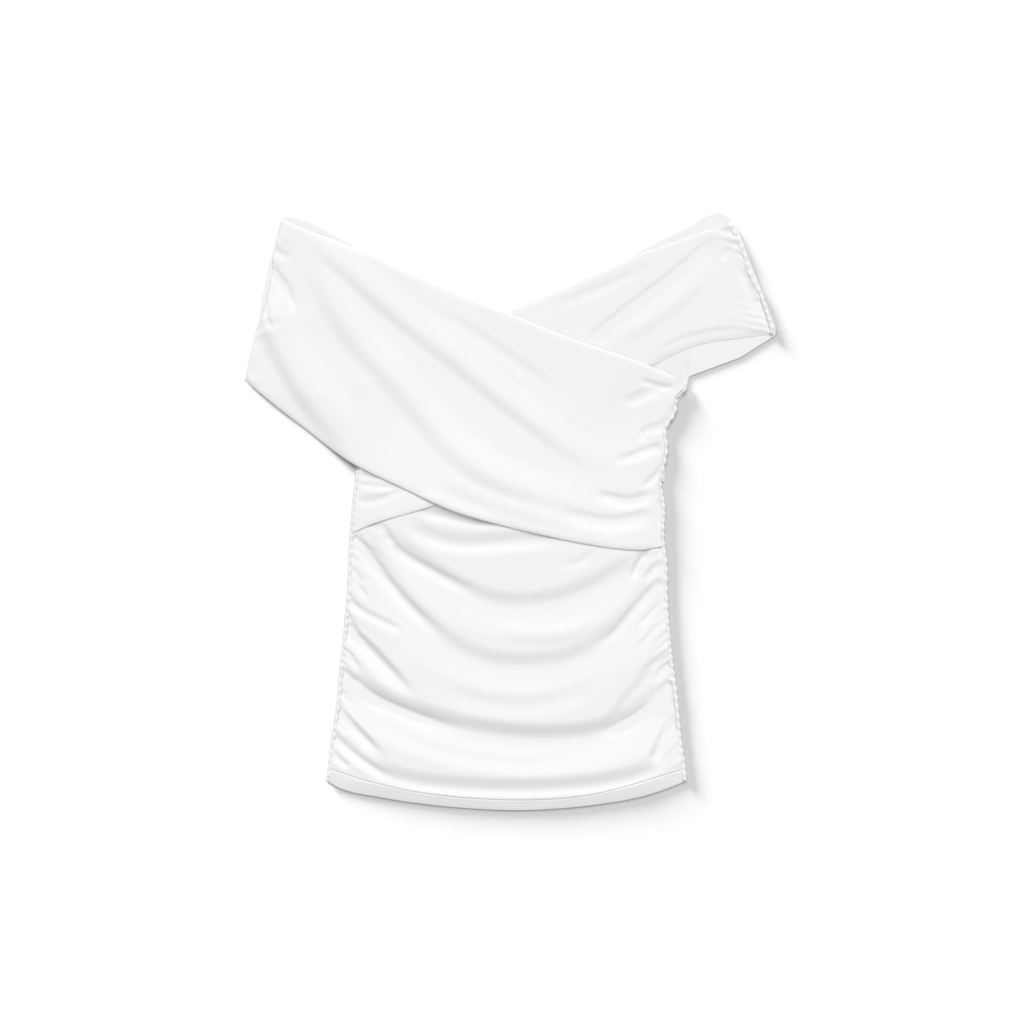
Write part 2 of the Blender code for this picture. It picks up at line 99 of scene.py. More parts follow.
STITCH_ENDS = (-188.0, 178.0)        # the rows start and stop here, in x
STITCH_DIP = 0.22        # the ends of a stitch go in this deep
STITCH_PROUD = 0.05      # and its middle stands out this far
SEAM_STEP = 1.6          # spacing of points along a seam
WALE_PITCH = 0.9         # the knit's columns and rows: fine jersey, only just resolved up close
COURSE_PITCH = 0.7
RASTER_STEP = 1.6        # spacing of the height maps that upper layers are laid on
COARSE_STEP = 9.0        # spacing of the outlines that tell how deep a point lies inside a layer
DEPTH_STEP = 3.0         # spacing of the maps of those depths
REACH_X, REACH_Y = 300.0, 335.0      # the maps run this far from the middle
CURVE_SAMPLES = 500      # points along a curve that is read from a table
LINE_SAMPLES = 600       # points along a band
ROW_SAMPLES = 1500       # points along a row of stitches
OUTLINE_SAMPLES = 60     # points along one side of an outline
FOLD_SAMPLES = 30        # points along a fold

# Rough sizes of the sheets, to space their points
OVER_SIZE = Size(445.0, 200.0)
UNDER_SIZE = Size(480.0, 150.0)
FRONT_SIZE = Size(350.0, 355.0)
BACK_SIZE = Size(340.0, 325.0)
BACK_BAND_SIZE = Size(560.0, 170.0)
# A sheet has points at these distances from its edges, so that they round off
EDGE_ROUNDING = (0.0, 0.12, 0.4, 0.85, 1.5, 2.4)

# How the ruched front puffs out above the hem: it starts this far up, swells mostly within the first width
# and fully within the second
PUFF_START = 17.0
PUFF_WIDTHS = (20.0, 90.0)
PUFF_SHARES = (0.32, 0.53, 0.15)     # of its full loft at the hem, and what each of the widths adds
COVERED_LOFT = 0.25      # share of the loft left deep under the bands
COVERED_FADE = Fade(2.0, 50.0)
# The ends of the bands press the front down where they are sewn in beside it
PRESSED_SHARE = 0.85
PRESSED_FADE = Fade(-3.0, 8.0)
PRESSED_REACH = 34.0
SWAGS_BESIDE = 0.55      # share of the swags left at the side seams
CREASE_FADE = 20.0       # the creases fade out over this height above the hem's edge
GATHER_FADE = Fade(12.0, 14.0)       # the gathers start above the hem
GATHER_COVER = Fade(10.0, -12.0)     # and stop under the bands
HEM_CURVE = 0.85         # how round the cloth rises over the height of the hem
GROOVE_DEPTH = 0.35      # the stitches sink this far into the cloth
GROOVE_WIDTH = 0.9
GROOVE_FADE = Fade(4.0, 4.0)
BODY_CRUMPLE = Crumple(24.0, 0.12)
UNDER_CRUMPLE = Crumple(30.0, 0.12)
OVER_CRUMPLE = Crumple(34.0, 0.14)

# Slack of each band over what it lies on, and the radius that its edges roll over
UNDER_SLACK = 1.3
OVER_SLACK = 2.3
UNDER_ROLL = 5.0
OVER_ROLL = 6.0
ARMHOLE_ROLL = 10.0      # the under band's lower edge beside the shoulder rolls over more
ARMHOLE_SAG = 1.3        # and lies lower
ARMHOLE_SAG_WIDTH = 9.0
ARMHOLE_FADE = Fade(120.0, 40.0)     # from this x outwards
ARMHOLE_SLOPE, ARMHOLE_TOP = 0.32, 140.0     # and below this line
# Beside the seam a band's edges are held up: by how much, and over which width
UNDER_HELD, UNDER_HELD_WIDTH = 4.0, 8.0
OVER_HELD, OVER_HELD_WIDTH = 3.0, 7.0
UNDER_PRESSED = 0.8      # the over band presses this share of the under band's slack out
UNDER_PRESSED_WIDTH = 16.0

# How a band drapes over what lies below: how far it widens each height, and how softly. It follows the
# loose form, or the close one less a little where that is higher
LOOSE_DRAPE = (10.0, 20.0)
CLOSE_DRAPE = (4.0, 5.0)
CLOSE_SAG = 0.5
BAND_SOFTNESS = 4.0
# Where a band is sewn into a side seam it comes down to the seam's own level
SEWN_REACH = 24.0
SEWN_LEVEL = 2.4
SEWN_MARGIN = 8.0        # this far past the seam too
SEWN_TOP = 150.0         # only below this line, in y
SEWN_SOFTNESS = 2.0

# The back is guessed, so it is plainer: its cloth has points further apart and softer folds
BACK_SPACING = 1.8
BACK_BAND_FOLDS = 0.5
BACK_FADE = 40.0         # its folds fade out over this width beside the seams
BACK_BODY_SHARE = 0.65   # the back body is this share of the back's thickness, to leave room for gathers
BACK_NOTCHES = slice(2, 9)           # corners of its lower edge that its band keeps
BACK_HEM_STEP = 1.2
FRONT_HEM_STEP = 0.9
SHOULDER_STEP = 6.0

FLOOR_SIZE = 30.0        # in metres, as is what follows
FLOOR_DROP = 0.0002
FAR_END = 50.0
SENSOR_WIDTH = 36.0      # in millimetres of film
WAVE_FACTOR = 20         # a wave texture has this many radians in a unit of its scale

# Gathers that die away from a seam
LEFT_GATHERS = (Gather(8.5, 13.0, 1.3, 0.75, 0.0), Gather(15.0, 26.0, 1.3, 0.6, 31.0))
RIGHT_GATHERS = (Gather(8.5, 13.0, 1.3, 0.75, 7.0), Gather(15.0, 26.0, 1.3, 0.6, 12.0))
BACK_LEFT_GATHERS = (Gather(9.0, 16.0, 0.5, 0.5, 0.0),)
BACK_RIGHT_GATHERS = (Gather(9.0, 16.0, 0.5, 0.5, 5.0),)
# Slow waves that make the gathers uneven in pitch, size and reach
GATHER_WANDER = (Wave(0.45, 29.0, 0.0), Wave(0.25, 11.0, 0.7))
GATHER_SIZE = Wave(0.45, 23.0, 1.0)
GATHER_REACH = Wave(0.5, 17.0, 2.0)
UNDER_PUCKERS = (Gather(11.0, 22.0, 2.4, -0.2, 0.0),)
OVER_PUCKERS = (Gather(26.0, 22.0, 1.6, -0.2, 0.0),)

# Outer line of the side seams, from the hem up to the armpits
LEFT_SIDE = (
    Edge(-283.0, -195.5), Edge(-268.0, -193.5), Edge(-250.0, -191.5), Edge(-208.0, -185.5),
    Edge(-145.0, -179.0), Edge(-92.0, -174.0), Edge(-24.0, -170.5), Edge(13.0, -167.5),
    Edge(46.0, -163.5), Edge(138.0, -163.0),
)
RIGHT_SIDE = (
    Edge(-283.0, 183.5), Edge(-268.0, 182.0), Edge(-239.0, 178.0), Edge(-197.0, 174.0),
    Edge(-145.0, 167.5), Edge(-92.0, 163.5), Edge(-50.0, 162.5), Edge(-29.0, 160.0),
    Edge(12.0, 160.0), Edge(28.0, 157.0), Edge(44.0, 159.5), Edge(65.0, 163.5),
    Edge(86.0, 162.0), Edge(107.0, 173.0), Edge(118.0, 173.5), Edge(133.0, 184.0), Edge(139.0, 177.0),
)

# Where each side seam starts, in x along the hem, and stops, in y
LEFT_SEAM = (-192.0, 44.0)
RIGHT_SEAM = (181.0, 137.0)

# Lower edge of the hem and the line of stitches above it
HEM_EDGE = (
    Point(-196.0, -281.5), Point(-180.0, -290.0), Point(-138.0, -299.5), Point(-96.0, -306.0),
    Point(-44.0, -311.0), Point(9.0, -313.0), Point(51.0, -311.0), Point(93.0, -306.5),
    Point(135.0, -299.0), Point(166.0, -289.0), Point(184.0, -281.5),
)
HEM_STITCHES = (
    Point(-194.0, -268.0), Point(-159.0, -279.5), Point(-117.0, -290.0), Point(-65.0, -298.0),
    Point(-12.0, -301.5), Point(30.0, -301.5), Point(72.0, -298.0), Point(114.0, -289.0),
    Point(156.0, -276.5), Point(182.0, -269.0),
)
FRONT_TOP = (Point(-164.0, 52.0), Point(-60.0, 66.0), Point(60.0, 66.0), Point(159.0, 52.0))
BACK_SEAM_Y = 31.0

# Back band: neckline above, armpit notches below
BACK_NECKLINE = (
    Point(-277.0, 141.0), Point(-263.0, 222.0), Point(-249.0, 281.0), Point(-237.0, 311.0),
    Point(-226.0, 309.0), Point(-175.0, 284.5), Point(-96.0, 234.0), Point(-7.0, 197.0),
    Point(82.0, 235.0), Point(140.0, 277.0), Point(180.0, 296.0), Point(222.0, 313.0),
    Point(231.0, 305.0), Point(250.0, 262.0), Point(278.0, 190.0),
)
BACK_LOWER = (
    Point(-277.0, 137.0), Point(-222.0, 131.0), Point(-166.0, 137.0), Point(-163.0, 31.4),
    Point(160.0, 31.4), Point(163.0, 86.0), Point(173.0, 112.0), Point(183.5, 132.0),
    Point(186.0, 142.0), Point(240.0, 162.0), Point(278.0, 186.0),
)

# Bands, a row for each section across them
OVER_BAND = (
    Section(-277.0, 135.0, -237.0, 308.0), Section(-250.0, 112.0, -212.0, 296.0),
    Section(-222.0, 91.0, -175.0, 282.0), Section(-170.0, 52.5, -117.0, 256.0),
    Section(-117.0, 26.0, -60.0, 231.0), Section(-65.0, 2.0, -3.0, 208.5),
    Section(-12.0, -14.0, 50.0, 187.0), Section(30.0, -24.0, 91.0, 172.5),
    Section(75.0, -33.5, 122.0, 162.0), Section(110.0, -39.0, 146.0, 152.5),
    Section(135.0, -40.0, 162.0, 145.5), Section(154.0, -36.0, 172.0, 139.0),
)
OVER_LEFT_END = (
    Bulge(0.0, -1.0), Bulge(0.03, 2.6), Bulge(0.07, 4.2), Bulge(0.2, 4.5), Bulge(0.35, 1.5),
    Bulge(0.5, 1.2), Bulge(0.65, 4.0), Bulge(0.73, 2.4), Bulge(0.81, 4.6), Bulge(0.92, 4.0),
    Bulge(1.0, -1.5),
)
UNDER_BAND = (
    Section(-161.0, -22.0, -158.5, 139.0), Section(-138.0, -11.5, -117.0, 160.0),
    Section(-75.0, 9.5, -65.0, 183.0), Section(9.0, 60.0, -7.0, 210.0),
    Section(60.0, 96.0, 30.0, 225.0), Section(93.0, 118.0, 93.0, 252.0),
    Section(151.0, 154.5, 145.0, 275.0), Section(198.0, 175.5, 190.0, 290.5),
    Section(240.0, 182.0, 214.0, 299.5), Section(271.5, 186.5, 227.0, 303.0),
)
UNDER_RIGHT_END = (
    Bulge(0.0, 0.0), Bulge(0.12, 2.5), Bulge(0.33, 3.6), Bulge(0.45, 1.6), Bulge(0.58, 0.2),
    Bulge(0.72, 2.2), Bulge(0.85, 1.4), Bulge(1.0, 0.0),
)


def route(*places):
    return tuple(Pixel(*place) for place in places)


# The ruched front's long swags. Paths run from left to right along the bottom of each trough
BODY_SWAGS = (
    Fold(-3.0, 13, 8, 0.25, 0.35, route((416, 510), (432, 515), (462, 520), (500, 525))),
    Fold(-2.6, 15, 12, 0.25, 0.25, route((398, 516), (425, 536), (460, 545), (505, 543), (565, 538))),
    Fold(-3.3, 18, 38, 0.12, 0.14, route(
        (382, 530), (402, 553), (430, 573), (465, 593), (500, 605), (545, 604), (590, 590), (622, 572),
        (650, 556))),
    Fold(-3.3, 19, 36, 0.06, 0.08, route(
        (354, 536), (370, 560), (391, 588), (418, 620), (448, 646), (485, 663), (530, 667), (575, 659),
        (612, 637), (640, 607), (662, 578))),
    Fold(-1.3, 14, 18, 0.30, 0.30, route((420, 672), (470, 697), (520, 704), (570, 695), (620, 668))),
    Fold(-5.8, 21, 40, 0.06, 0.06, route(
        (342, 672), (362, 692), (395, 709), (435, 724), (490, 736), (545, 740), (598, 735), (635, 721),
        (660, 698), (672, 682))),
    Fold(-1.0, 12, 14, 0.30, 0.30, route((350, 712), (390, 732), (440, 752), (520, 764), (600, 756))),
    Fold(-1.7, 16, 10, 0.06, 0.06, route(
        (336, 731), (355, 751), (378, 769), (410, 781), (455, 787), (510, 789), (570, 787), (615, 781),
        (652, 768), (679, 740))),
)
# Sharp creases inside the ruched front
BODY_CREASES = (
    Fold(-3.0, 8, 12, 0.06, 0.40, route(
        (352, 531), (372, 560), (392, 586), (412, 608), (432, 626), (450, 642))),
    Fold(-2.2, 7, 12, 0.10, 0.40, route((382, 531), (401, 552), (426, 567), (455, 582), (485, 596))),
    Fold(-2.8, 8, 13, 0.05, 0.40, route(
        (335, 664), (352, 682), (375, 698), (397, 708), (430, 720), (470, 730))),
    Fold(-2.6, 7, 10, 0.05, 0.45, route((329, 730), (350, 751), (378, 770), (400, 780))),
    Fold(-2.6, 8, 12, 0.30, 0.05, route((596, 734), (620, 726), (641, 713), (657, 700), (671, 680))),
    Fold(-4.6, 9, 16, 0.05, 0.40, route((341, 623), (363, 643), (382, 662), (400, 681), (418, 702))),
    Fold(-4.0, 7, 12, 0.05, 0.45, route((333, 705), (346, 719), (361, 734), (375, 748), (388, 762))),
    Fold(-1.8, 6, 8, 0.25, 0.25, route((346, 596), (358, 608), (376, 618), (405, 632))),
    Fold(-1.4, 4, 6, 0.30, 0.30, route((350, 566), (358, 577), (364, 584))),
    Fold(-1.4, 4, 6, 0.30, 0.30, route((351, 576), (360, 588), (369, 600))),
    Fold(-1.5, 4, 6, 0.30, 0.30, route((346, 589), (353, 603), (360, 610))),
    Fold(-1.8, 4, 7, 0.30, 0.30, route((344, 611), (352, 623), (360, 633))),
    Fold(-1.3, 4, 6, 0.30, 0.30, route((344, 645), (352, 657), (361, 671))),
    Fold(-1.2, 4, 6, 0.30, 0.30, route((341, 660), (347, 668), (353, 676))),
    Fold(-1.2, 4, 6, 0.30, 0.30, route((340, 688), (346, 696), (352, 705))),
    Fold(-1.2, 4, 6, 0.30, 0.30, route((336, 721), (341, 727), (348, 735))),
    Fold(-1.8, 5, 7, 0.30, 0.30, route((332, 748), (338, 757), (351, 768))),
    Fold(-2.8, 6, 8, 0.30, 0.30, route((631, 582), (636, 568), (641, 558), (650, 548))),
    Fold(-1.6, 6, 9, 0.35, 0.35, route((642, 582), (652, 570), (662, 559))),
    Fold(-1.6, 6, 10, 0.30, 0.05, route((592, 646), (612, 633), (628, 614), (643, 597), (661, 579))),
    Fold(-1.5, 4, 7, 0.35, 0.35, route((636, 628), (649, 614), (662, 600))),
    Fold(-1.3, 6, 9, 0.35, 0.35, route((630, 655), (648, 636), (664, 616))),
    Fold(-2.3, 12, 30, 0.25, 0.20, route(
        (602, 734), (612, 720), (627, 701), (643, 681), (657, 662), (668, 648))),
    Fold(-3.0, 9, 12, 0.20, 0.30, route((651, 764), (657, 749), (667, 730), (675, 712))),
    Fold(-1.5, 5, 7, 0.35, 0.35, route((652, 684), (662, 670), (670, 658))),
    Fold(-1.3, 4, 7, 0.35, 0.35, route((655, 724), (664, 712), (675, 698))),
    Fold(-0.9, 7, 9, 0.40, 0.30, route((556, 566), (578, 562), (594, 550))),
    Fold(-1.4, 6, 9, 0.30, 0.45, route((376, 522), (386, 531), (396, 545))),
    Fold(1.0, 12, 14, 0.35, 0.35, route((480, 622), (520, 632), (570, 630), (615, 606))),
)
# The over band's lower edge stands off where the front sags away below it
EDGE_LIFT = (
    Fold(1.8, 16, 16, 0.35, 0.40, route((408, 490), (440, 505), (470, 517), (512, 528))),
)
OVER_FOLDS = (
    Fold(2.4, 26, 15, 0.14, 0.30, route(
        (300, 228), (326, 250), (352, 274), (380, 299), (420, 332), (460, 363), (500, 396), (540, 427),
        (572, 450), (600, 464), (630, 474))),
    Fold(2.8, 28, 20, 0.16, 0.30, route(
        (308, 240), (324, 280), (338, 312), (360, 342), (392, 376), (424, 414), (452, 446), (480, 468),
        (520, 486), (575, 500), (630, 504))),
    Fold(4.4, 40, 19, 0.14, 0.46, route(
        (262, 290), (272, 326), (284, 354), (300, 382), (318, 408), (338, 434), (356, 456), (364, 478))),
    Fold(-2.6, 8, 10, 0.20, 0.35, route((270, 262), (276, 276), (285, 288), (291, 302), (290, 320))),
    Fold(-2.0, 5, 6, 0.35, 0.30, route((262, 290), (266, 304), (268, 320), (274, 334))),
    Fold(-1.2, 6, 8, 0.35, 0.35, route((272, 244), (280, 254), (292, 258))),
    Fold(-1.5, 5, 6, 0.40, 0.20, route((636, 380), (650, 384), (666, 389))),
    Fold(-2.8, 4, 4, 0.40, 0.40, route((655, 387), (665, 388), (672, 387))),
    Fold(-1.7, 10, 9, 0.45, 0.20, route((616, 406), (636, 399), (650, 393), (664, 390))),
    Fold(-2.3, 10, 6, 0.25, 0.20, route((638, 436), (650, 431), (662, 427), (672, 417), (676, 404))),
    Fold(-1.3, 4, 5, 0.35, 0.35, route((642, 428), (642, 436), (646, 442))),
    Fold(-1.8, 7, 9, 0.35, 0.15, route((610, 462), (630, 457), (645, 451), (662, 446))),
    Fold(-1.9, 6, 6, 0.25, 0.25, route(
        (640, 492), (645, 485), (653, 478), (661, 469), (666, 455), (666, 443))),
    Fold(-2.3, 8, 11, 0.30, 0.25, route((590, 493), (610, 498), (628, 501), (643, 497), (655, 489))),
    Fold(-2.1, 10, 14, 0.30, 0.20, route((556, 510), (588, 519), (610, 522), (632, 519), (656, 512))),
    Fold(-1.2, 4, 6, 0.30, 0.30, route((658, 494), (660, 514), (660, 534))),
    Fold(-0.9, 10, 12, 0.35, 0.35, route((420, 300), (470, 332), (520, 366), (570, 402))),
    Fold(0.8, 12, 12, 0.35, 0.35, route((420, 460), (470, 492), (530, 512), (590, 528))),
)
UNDER_FOLDS = (
    Fold(-2.1, 9, 16, 0.14, 0.14, route(
        (584, 345), (602, 331), (624, 313), (652, 292), (684, 267), (716, 238))),
    Fold(0.9, 10, 12, 0.30, 0.30, route((612, 344), (650, 320), (690, 290), (715, 262))),
    Fold(-0.8, 8, 9, 0.35, 0.35, route((540, 310), (580, 297), (620, 280), (660, 262))),
    Fold(-1.5, 6, 7, 0.30, 0.30, route((736, 262), (745, 282), (752, 300), (754, 318))),
    Fold(-1.0, 5, 6, 0.35, 0.35, route((728, 246), (722, 262))),
    Fold(-1.0, 7, 8, 0.35, 0.35, route((640, 362), (690, 338), (740, 331), (768, 333))),
    Fold(-1.6, 5, 6, 0.25, 0.25, route((354, 498), (366, 502), (380, 500), (404, 490))),
    Fold(-1.5, 4, 4, 0.30, 0.30, route((356, 474), (366, 476), (380, 480))),
    Fold(-1.5, 4, 4, 0.30, 0.30, route((356, 484), (372, 486), (398, 488))),
    Fold(1.0, 5, 5, 0.30, 0.30, route((360, 492), (376, 493), (392, 490))),
)
BACK_FOLDS = (
    Fold(1.6, 14, 20, 0.20, 0.20, route((352, 560), (420, 610), (510, 632), (600, 606), (660, 566))),
    Fold(2.2, 16, 20, 0.16, 0.16, route((345, 640), (410, 690), (505, 712), (600, 690), (668, 640))),
    Fold(1.8, 12, 16, 0.20, 0.20, route((338, 715), (400, 756), (500, 772), (610, 755), (674, 706))),
    Fold(1.0, 8, 8, 0.30, 0.30, route((349, 590), (375, 612), (398, 640))),
    Fold(1.0, 8, 8, 0.30, 0.30, route((664, 600), (640, 625), (618, 660))),
    Fold(1.0, 8, 8, 0.30, 0.30, route((343, 672), (370, 700), (395, 722))),
    Fold(1.0, 8, 8, 0.30, 0.30, route((670, 668), (646, 695), (622, 716))),
    Fold(0.9, 10, 12, 0.30, 0.30, route((300, 260), (380, 330), (470, 388))),
    Fold(0.9, 10, 12, 0.30, 0.30, route((715, 260), (640, 330), (560, 388))),
)

SHELL_STEP = 1.75        # spacing of the finished cloth's points


def metres(points):
    return np.asarray(points, float) * MM


def linear(hex_colour):
    """An sRGB hex colour as linear values."""
    parts = [int(hex_colour[k:k + 2], 16) / 255 for k in (1, 3, 5)]
    return [c / 12.92 if c <= 0.04045 else ((c + 0.055) / 1.055) ** 2.4 for c in parts]


def from_picture(path):
    """Places in the picture as millimetres on the garment."""
    places = np.array([tuple(place) for place in path], float)
    return np.stack(((places[:, 0] - PICTURE_MIDDLE[0]) * PIXEL_SIZE,
                     (PICTURE_MIDDLE[1] - places[:, 1]) * PIXEL_SIZE), axis=1)


def lengths_along(points):
    """How far along a line each of its points lies."""
    return np.concatenate(([0.0], np.cumsum(np.linalg.norm(np.diff(points, axis=0), axis=1))))


def smooth_rows(rows, count):
    """Values at even steps along a smooth curve through the rows of a table."""
    rows = np.array(rows, float)
    knots = lengths_along(rows)
    slopes = np.gradient(rows, knots, axis=0)
    at = np.linspace(0.0, knots[-1], count)
    row = np.clip(np.searchsorted(knots, at, side="right") - 1, 0, len(knots) - 2)
    step = (knots[row + 1] - knots[row])[:, None]
    t = (at - knots[row])[:, None] / step
    return ((1 + 2 * t) * (1 - t) ** 2 * rows[row] + t * (1 - t) ** 2 * step * slopes[row]
            + t * t * (3 - 2 * t) * rows[row + 1] - t * t * (1 - t) * step * slopes[row + 1])


def read_smooth(table, at):
    """The second column of a table as a smooth function of the first."""
    curve = smooth_rows([tuple(row) for row in table], CURVE_SAMPLES)
    return np.interp(at, curve[:, 0], curve[:, 1])


def ease(t):
    t = np.clip(t, 0.0, 1.0)
    return t * t * (3.0 - 2.0 * t)


def faded(value, fade):
    return ease((value - fade.start) / fade.width)


def swing(along, wave):
    return wave.size * np.sin(along / wave.length + wave.phase)


def above_zero(value, softness=0.5):
    return 0.5 * (value + np.sqrt(value * value + softness * softness))


def left_side(y):
    return read_smooth(LEFT_SIDE, y)


def right_side(y):
    return read_smooth(RIGHT_SIDE, y)


def hem_edge(x):
    return read_smooth(HEM_EDGE, x)


def hem_stitches(x):
    return read_smooth(HEM_STITCHES, x)


def front_top(x):
    return read_smooth(FRONT_TOP, x)


def front_foot(x):
    """Lower edge of the front body, just clear of its hem."""
    return hem_stitches(x) + 0.15


def back_foot(x):
    return hem_stitches(x) + 0.3


def back_seam(x):
    """Level seam between the back body and the back band."""
    return np.full_like(x, BACK_SEAM_Y)


def front_left(y):
    return left_side(y) + SEAM_WIDTH - TUCK


def front_right(y):
    return right_side(y) - SEAM_WIDTH + TUCK


def nearest(points, path):
    """Distance of each point to a path, how far along it that is, and which side it lies on."""
    start = path[:-1]
    run = np.diff(path, axis=0)
    length2 = np.maximum((run ** 2).sum(1), 1e-9)
    done = np.concatenate(([0.0], np.cumsum(np.sqrt(length2))))
    distance2 = np.full(len(points), np.inf)
    along = np.zeros(len(points))
    side = np.zeros(len(points))
    for k in range(len(start)):
        offset = points - start[k]
        t = np.clip(offset @ run[k] / length2[k], 0.0, 1.0)
        gap = offset - t[:, None] * run[k]
        here = (gap ** 2).sum(1)
        closer = here < distance2
        distance2[closer] = here[closer]
        along[closer] = (done[k] + t[closer] * math.sqrt(length2[k])) / done[-1]
        side[closer] = run[k, 0] * gap[closer, 1] - run[k, 1] * gap[closer, 0]
    return np.sqrt(distance2), along, side


def fold_heights(points, folds):
    """Sum of the folds' soft ridges and troughs at each point."""
    total = np.zeros(len(points))
    for fold in folds:
        path = smooth_rows(from_picture(fold.path), FOLD_SAMPLES)
        reach = max(fold.upper, fold.lower)
        low, high = path.min(0) - reach, path.max(0) + reach
        near = np.nonzero(((points > low) & (points < high)).all(1))[0]
        if not len(near):
            continue
        distance, along, side = nearest(points[near], path)
        width = np.where(side > 0, fold.upper, fold.lower)
        profile = 0.5 + 0.5 * np.cos(np.pi * np.minimum(distance / width, 1.0))
        total[near] += fold.rise * profile * ease(along / fold.start) * ease((1.0 - along) / fold.end)
    return total * bpy.context.scene.crossover_top.fold_depth


def rolled(depth, radius):
    """Rounding of a soft edge: nothing at the edge, full height at its radius."""
    return np.sqrt(1.0 - (1.0 - np.clip(depth / radius, 0.0, 1.0)) ** 2)


def depth_inside(points, outline):
    """Signed distance to an outline, positive inside it."""
    distance, _, _ = nearest(points, np.vstack((outline, outline[:1])))
    odd = np.zeros(len(points), bool)
    x, y = points.T
    for start, end in zip(outline, np.roll(outline, -1, axis=0)):
        if start[1] != end[1]:
            crosses = (start[1] > y) != (end[1] > y)
            odd ^= crosses & (x < start[0] + (y - start[1]) / (end[1] - start[1]) * (end[0] - start[0]))
    return np.where(odd, distance, -distance)


def graded(length, step):
    """Fractions from 0 to 1 along a length, close together at both ends so that edges round off."""
    first = np.array(EDGE_ROUNDING) / length
    inner = np.linspace(first[-1], 1 - first[-1], max(3, round((length * (1 - 2 * first[-1])) / step)))
    return np.concatenate((first[:-1], inner, (1 - first[:-1])[::-1]))


def between_edges(table, u, v):
    """Grid of points over a band, from its lower to its upper edge."""
    line = smooth_rows(table, LINE_SAMPLES)
    at = u * (len(line) - 1)
    line = np.stack([np.interp(at, np.arange(len(line)), line[:, k]) for k in range(4)], axis=1)
    v = v[:, None, None]
    return line[None, :, :2] * (1 - v) + line[None, :, 2:] * v


def bow_end(grid, u, end, shift):
    """Moves one end of a grid sideways, and the columns next to it less and less."""
    nearness = ease(1 - u * 5) if end == 0 else ease(u * 5 - 4)
    grid[:, :, 0] += shift[:, None] * nearness[None, :]
    return grid


def side_to_side(left, right, low, high, u, v):
    """Grid of points between two side lines x(y), from a low line y(x) to a high line y(x)."""
    y = np.zeros((len(v), len(u)))
    for _ in range(4):
        x = left(y) * (1 - u) + right(y) * u
        y = low(x) * (1 - v)[:, None] + high(x) * v[:, None]
    return np.stack((left(y) * (1 - u) + right(y) * u, y), axis=2)


def over_band_plan(step):
    u, v = graded(OVER_SIZE.across, step), graded(OVER_SIZE.up, step)
    grid = between_edges(OVER_BAND, u, v)
    grid = bow_end(grid, u, 0, -read_smooth(OVER_LEFT_END, v))
    return bow_end(grid, u, -1, front_right(grid[:, -1, 1]) - grid[:, -1, 0])


def under_band_plan(step):
    u, v = graded(UNDER_SIZE.across, step), graded(UNDER_SIZE.up, step)
    grid = between_edges(UNDER_BAND, u, v)
    grid = bow_end(grid, u, 0, front_left(grid[:, 0, 1]) - grid[:, 0, 0])
    return bow_end(grid, u, -1, read_smooth(UNDER_RIGHT_END, v) + TUCK)


def rim(grid):
    """The outline of a grid, once round it."""
    return np.vstack((grid[0], grid[1:, -1], grid[-1, -2::-1], grid[-2:0:-1, 0]))


def gathers(distance, y, sets):
    """Uneven gathers at a distance from the seam they start at and die away from."""
    total = np.zeros(len(y))
    for gather in sets:
        along = y + gather.lean * distance + gather.shift
        turn = along / gather.pitch + sum(swing(along, wave) for wave in GATHER_WANDER)
        size = 0.55 + swing(along, GATHER_SIZE)
        reach = gather.reach * (0.7 + swing(along, GATHER_REACH))
        profile = 0.5 + 0.5 * np.cos(2 * np.pi * turn)
        total += gather.rise * size * profile * np.exp(-(np.maximum(distance, 0.0) / reach) ** 1.5)
    return total


def crumple(points, scale, height):
    """Very soft unevenness of cloth that has been handled."""
    x, y = points[:, 0] / scale, points[:, 1] / scale
    return height * (np.sin(x * 1.3 + 1.7 * np.sin(y * 0.9)) * np.sin(y * 1.1 + 1.3 * np.sin(x * 0.7 + 2.0))
                     + 0.5 * np.sin(x * 2.9 + y * 1.7 + 1.0) * np.sin(y * 2.3 - x * 1.1))


def blurred(level, radius):
    """A raster softened over a radius in millimetres."""
    cells = max(1, round(radius / RASTER_STEP))
    weights = np.exp(-0.5 * (np.arange(-2 * cells, 2 * cells + 1) / cells) ** 2)
    weights /= weights.sum()
    for axis, margin in enumerate((((2 * cells,) * 2, (0, 0)), ((0, 0), (2 * cells,) * 2))):
        padded = np.pad(level, margin, mode="edge")
        size = level.shape[axis]
        level = sum(w * np.take(padded, np.arange(k, k + size), axis=axis) for k, w in enumerate(weights))
    return level


class Raster:
    """Values on an even raster over the whole garment, read in between by two-way blending."""

    def __init__(self, spacing):
        self.spacing = spacing
        self.x = np.arange(-REACH_X, REACH_X + 0.1, spacing)
        self.y = np.arange(-REACH_Y, REACH_Y + 0.1, spacing)
        mesh_x, mesh_y = np.meshgrid(self.x, self.y)
        self.points = np.stack((mesh_x.ravel(), mesh_y.ravel()), axis=1)
        self.shape = mesh_x.shape

    def read(self, level, points):
        fx = np.clip((points[:, 0] - self.x[0]) / self.spacing, 0, self.shape[1] - 1.001)
        fy = np.clip((points[:, 1] - self.y[0]) / self.spacing, 0, self.shape[0] - 1.001)
        ix, iy = fx.astype(int), fy.astype(int)
        tx, ty = fx - ix, fy - iy
        return ((level[iy, ix] * (1 - tx) + level[iy, ix + 1] * tx) * (1 - ty)
                + (level[iy + 1, ix] * (1 - tx) + level[iy + 1, ix + 1] * tx) * ty)


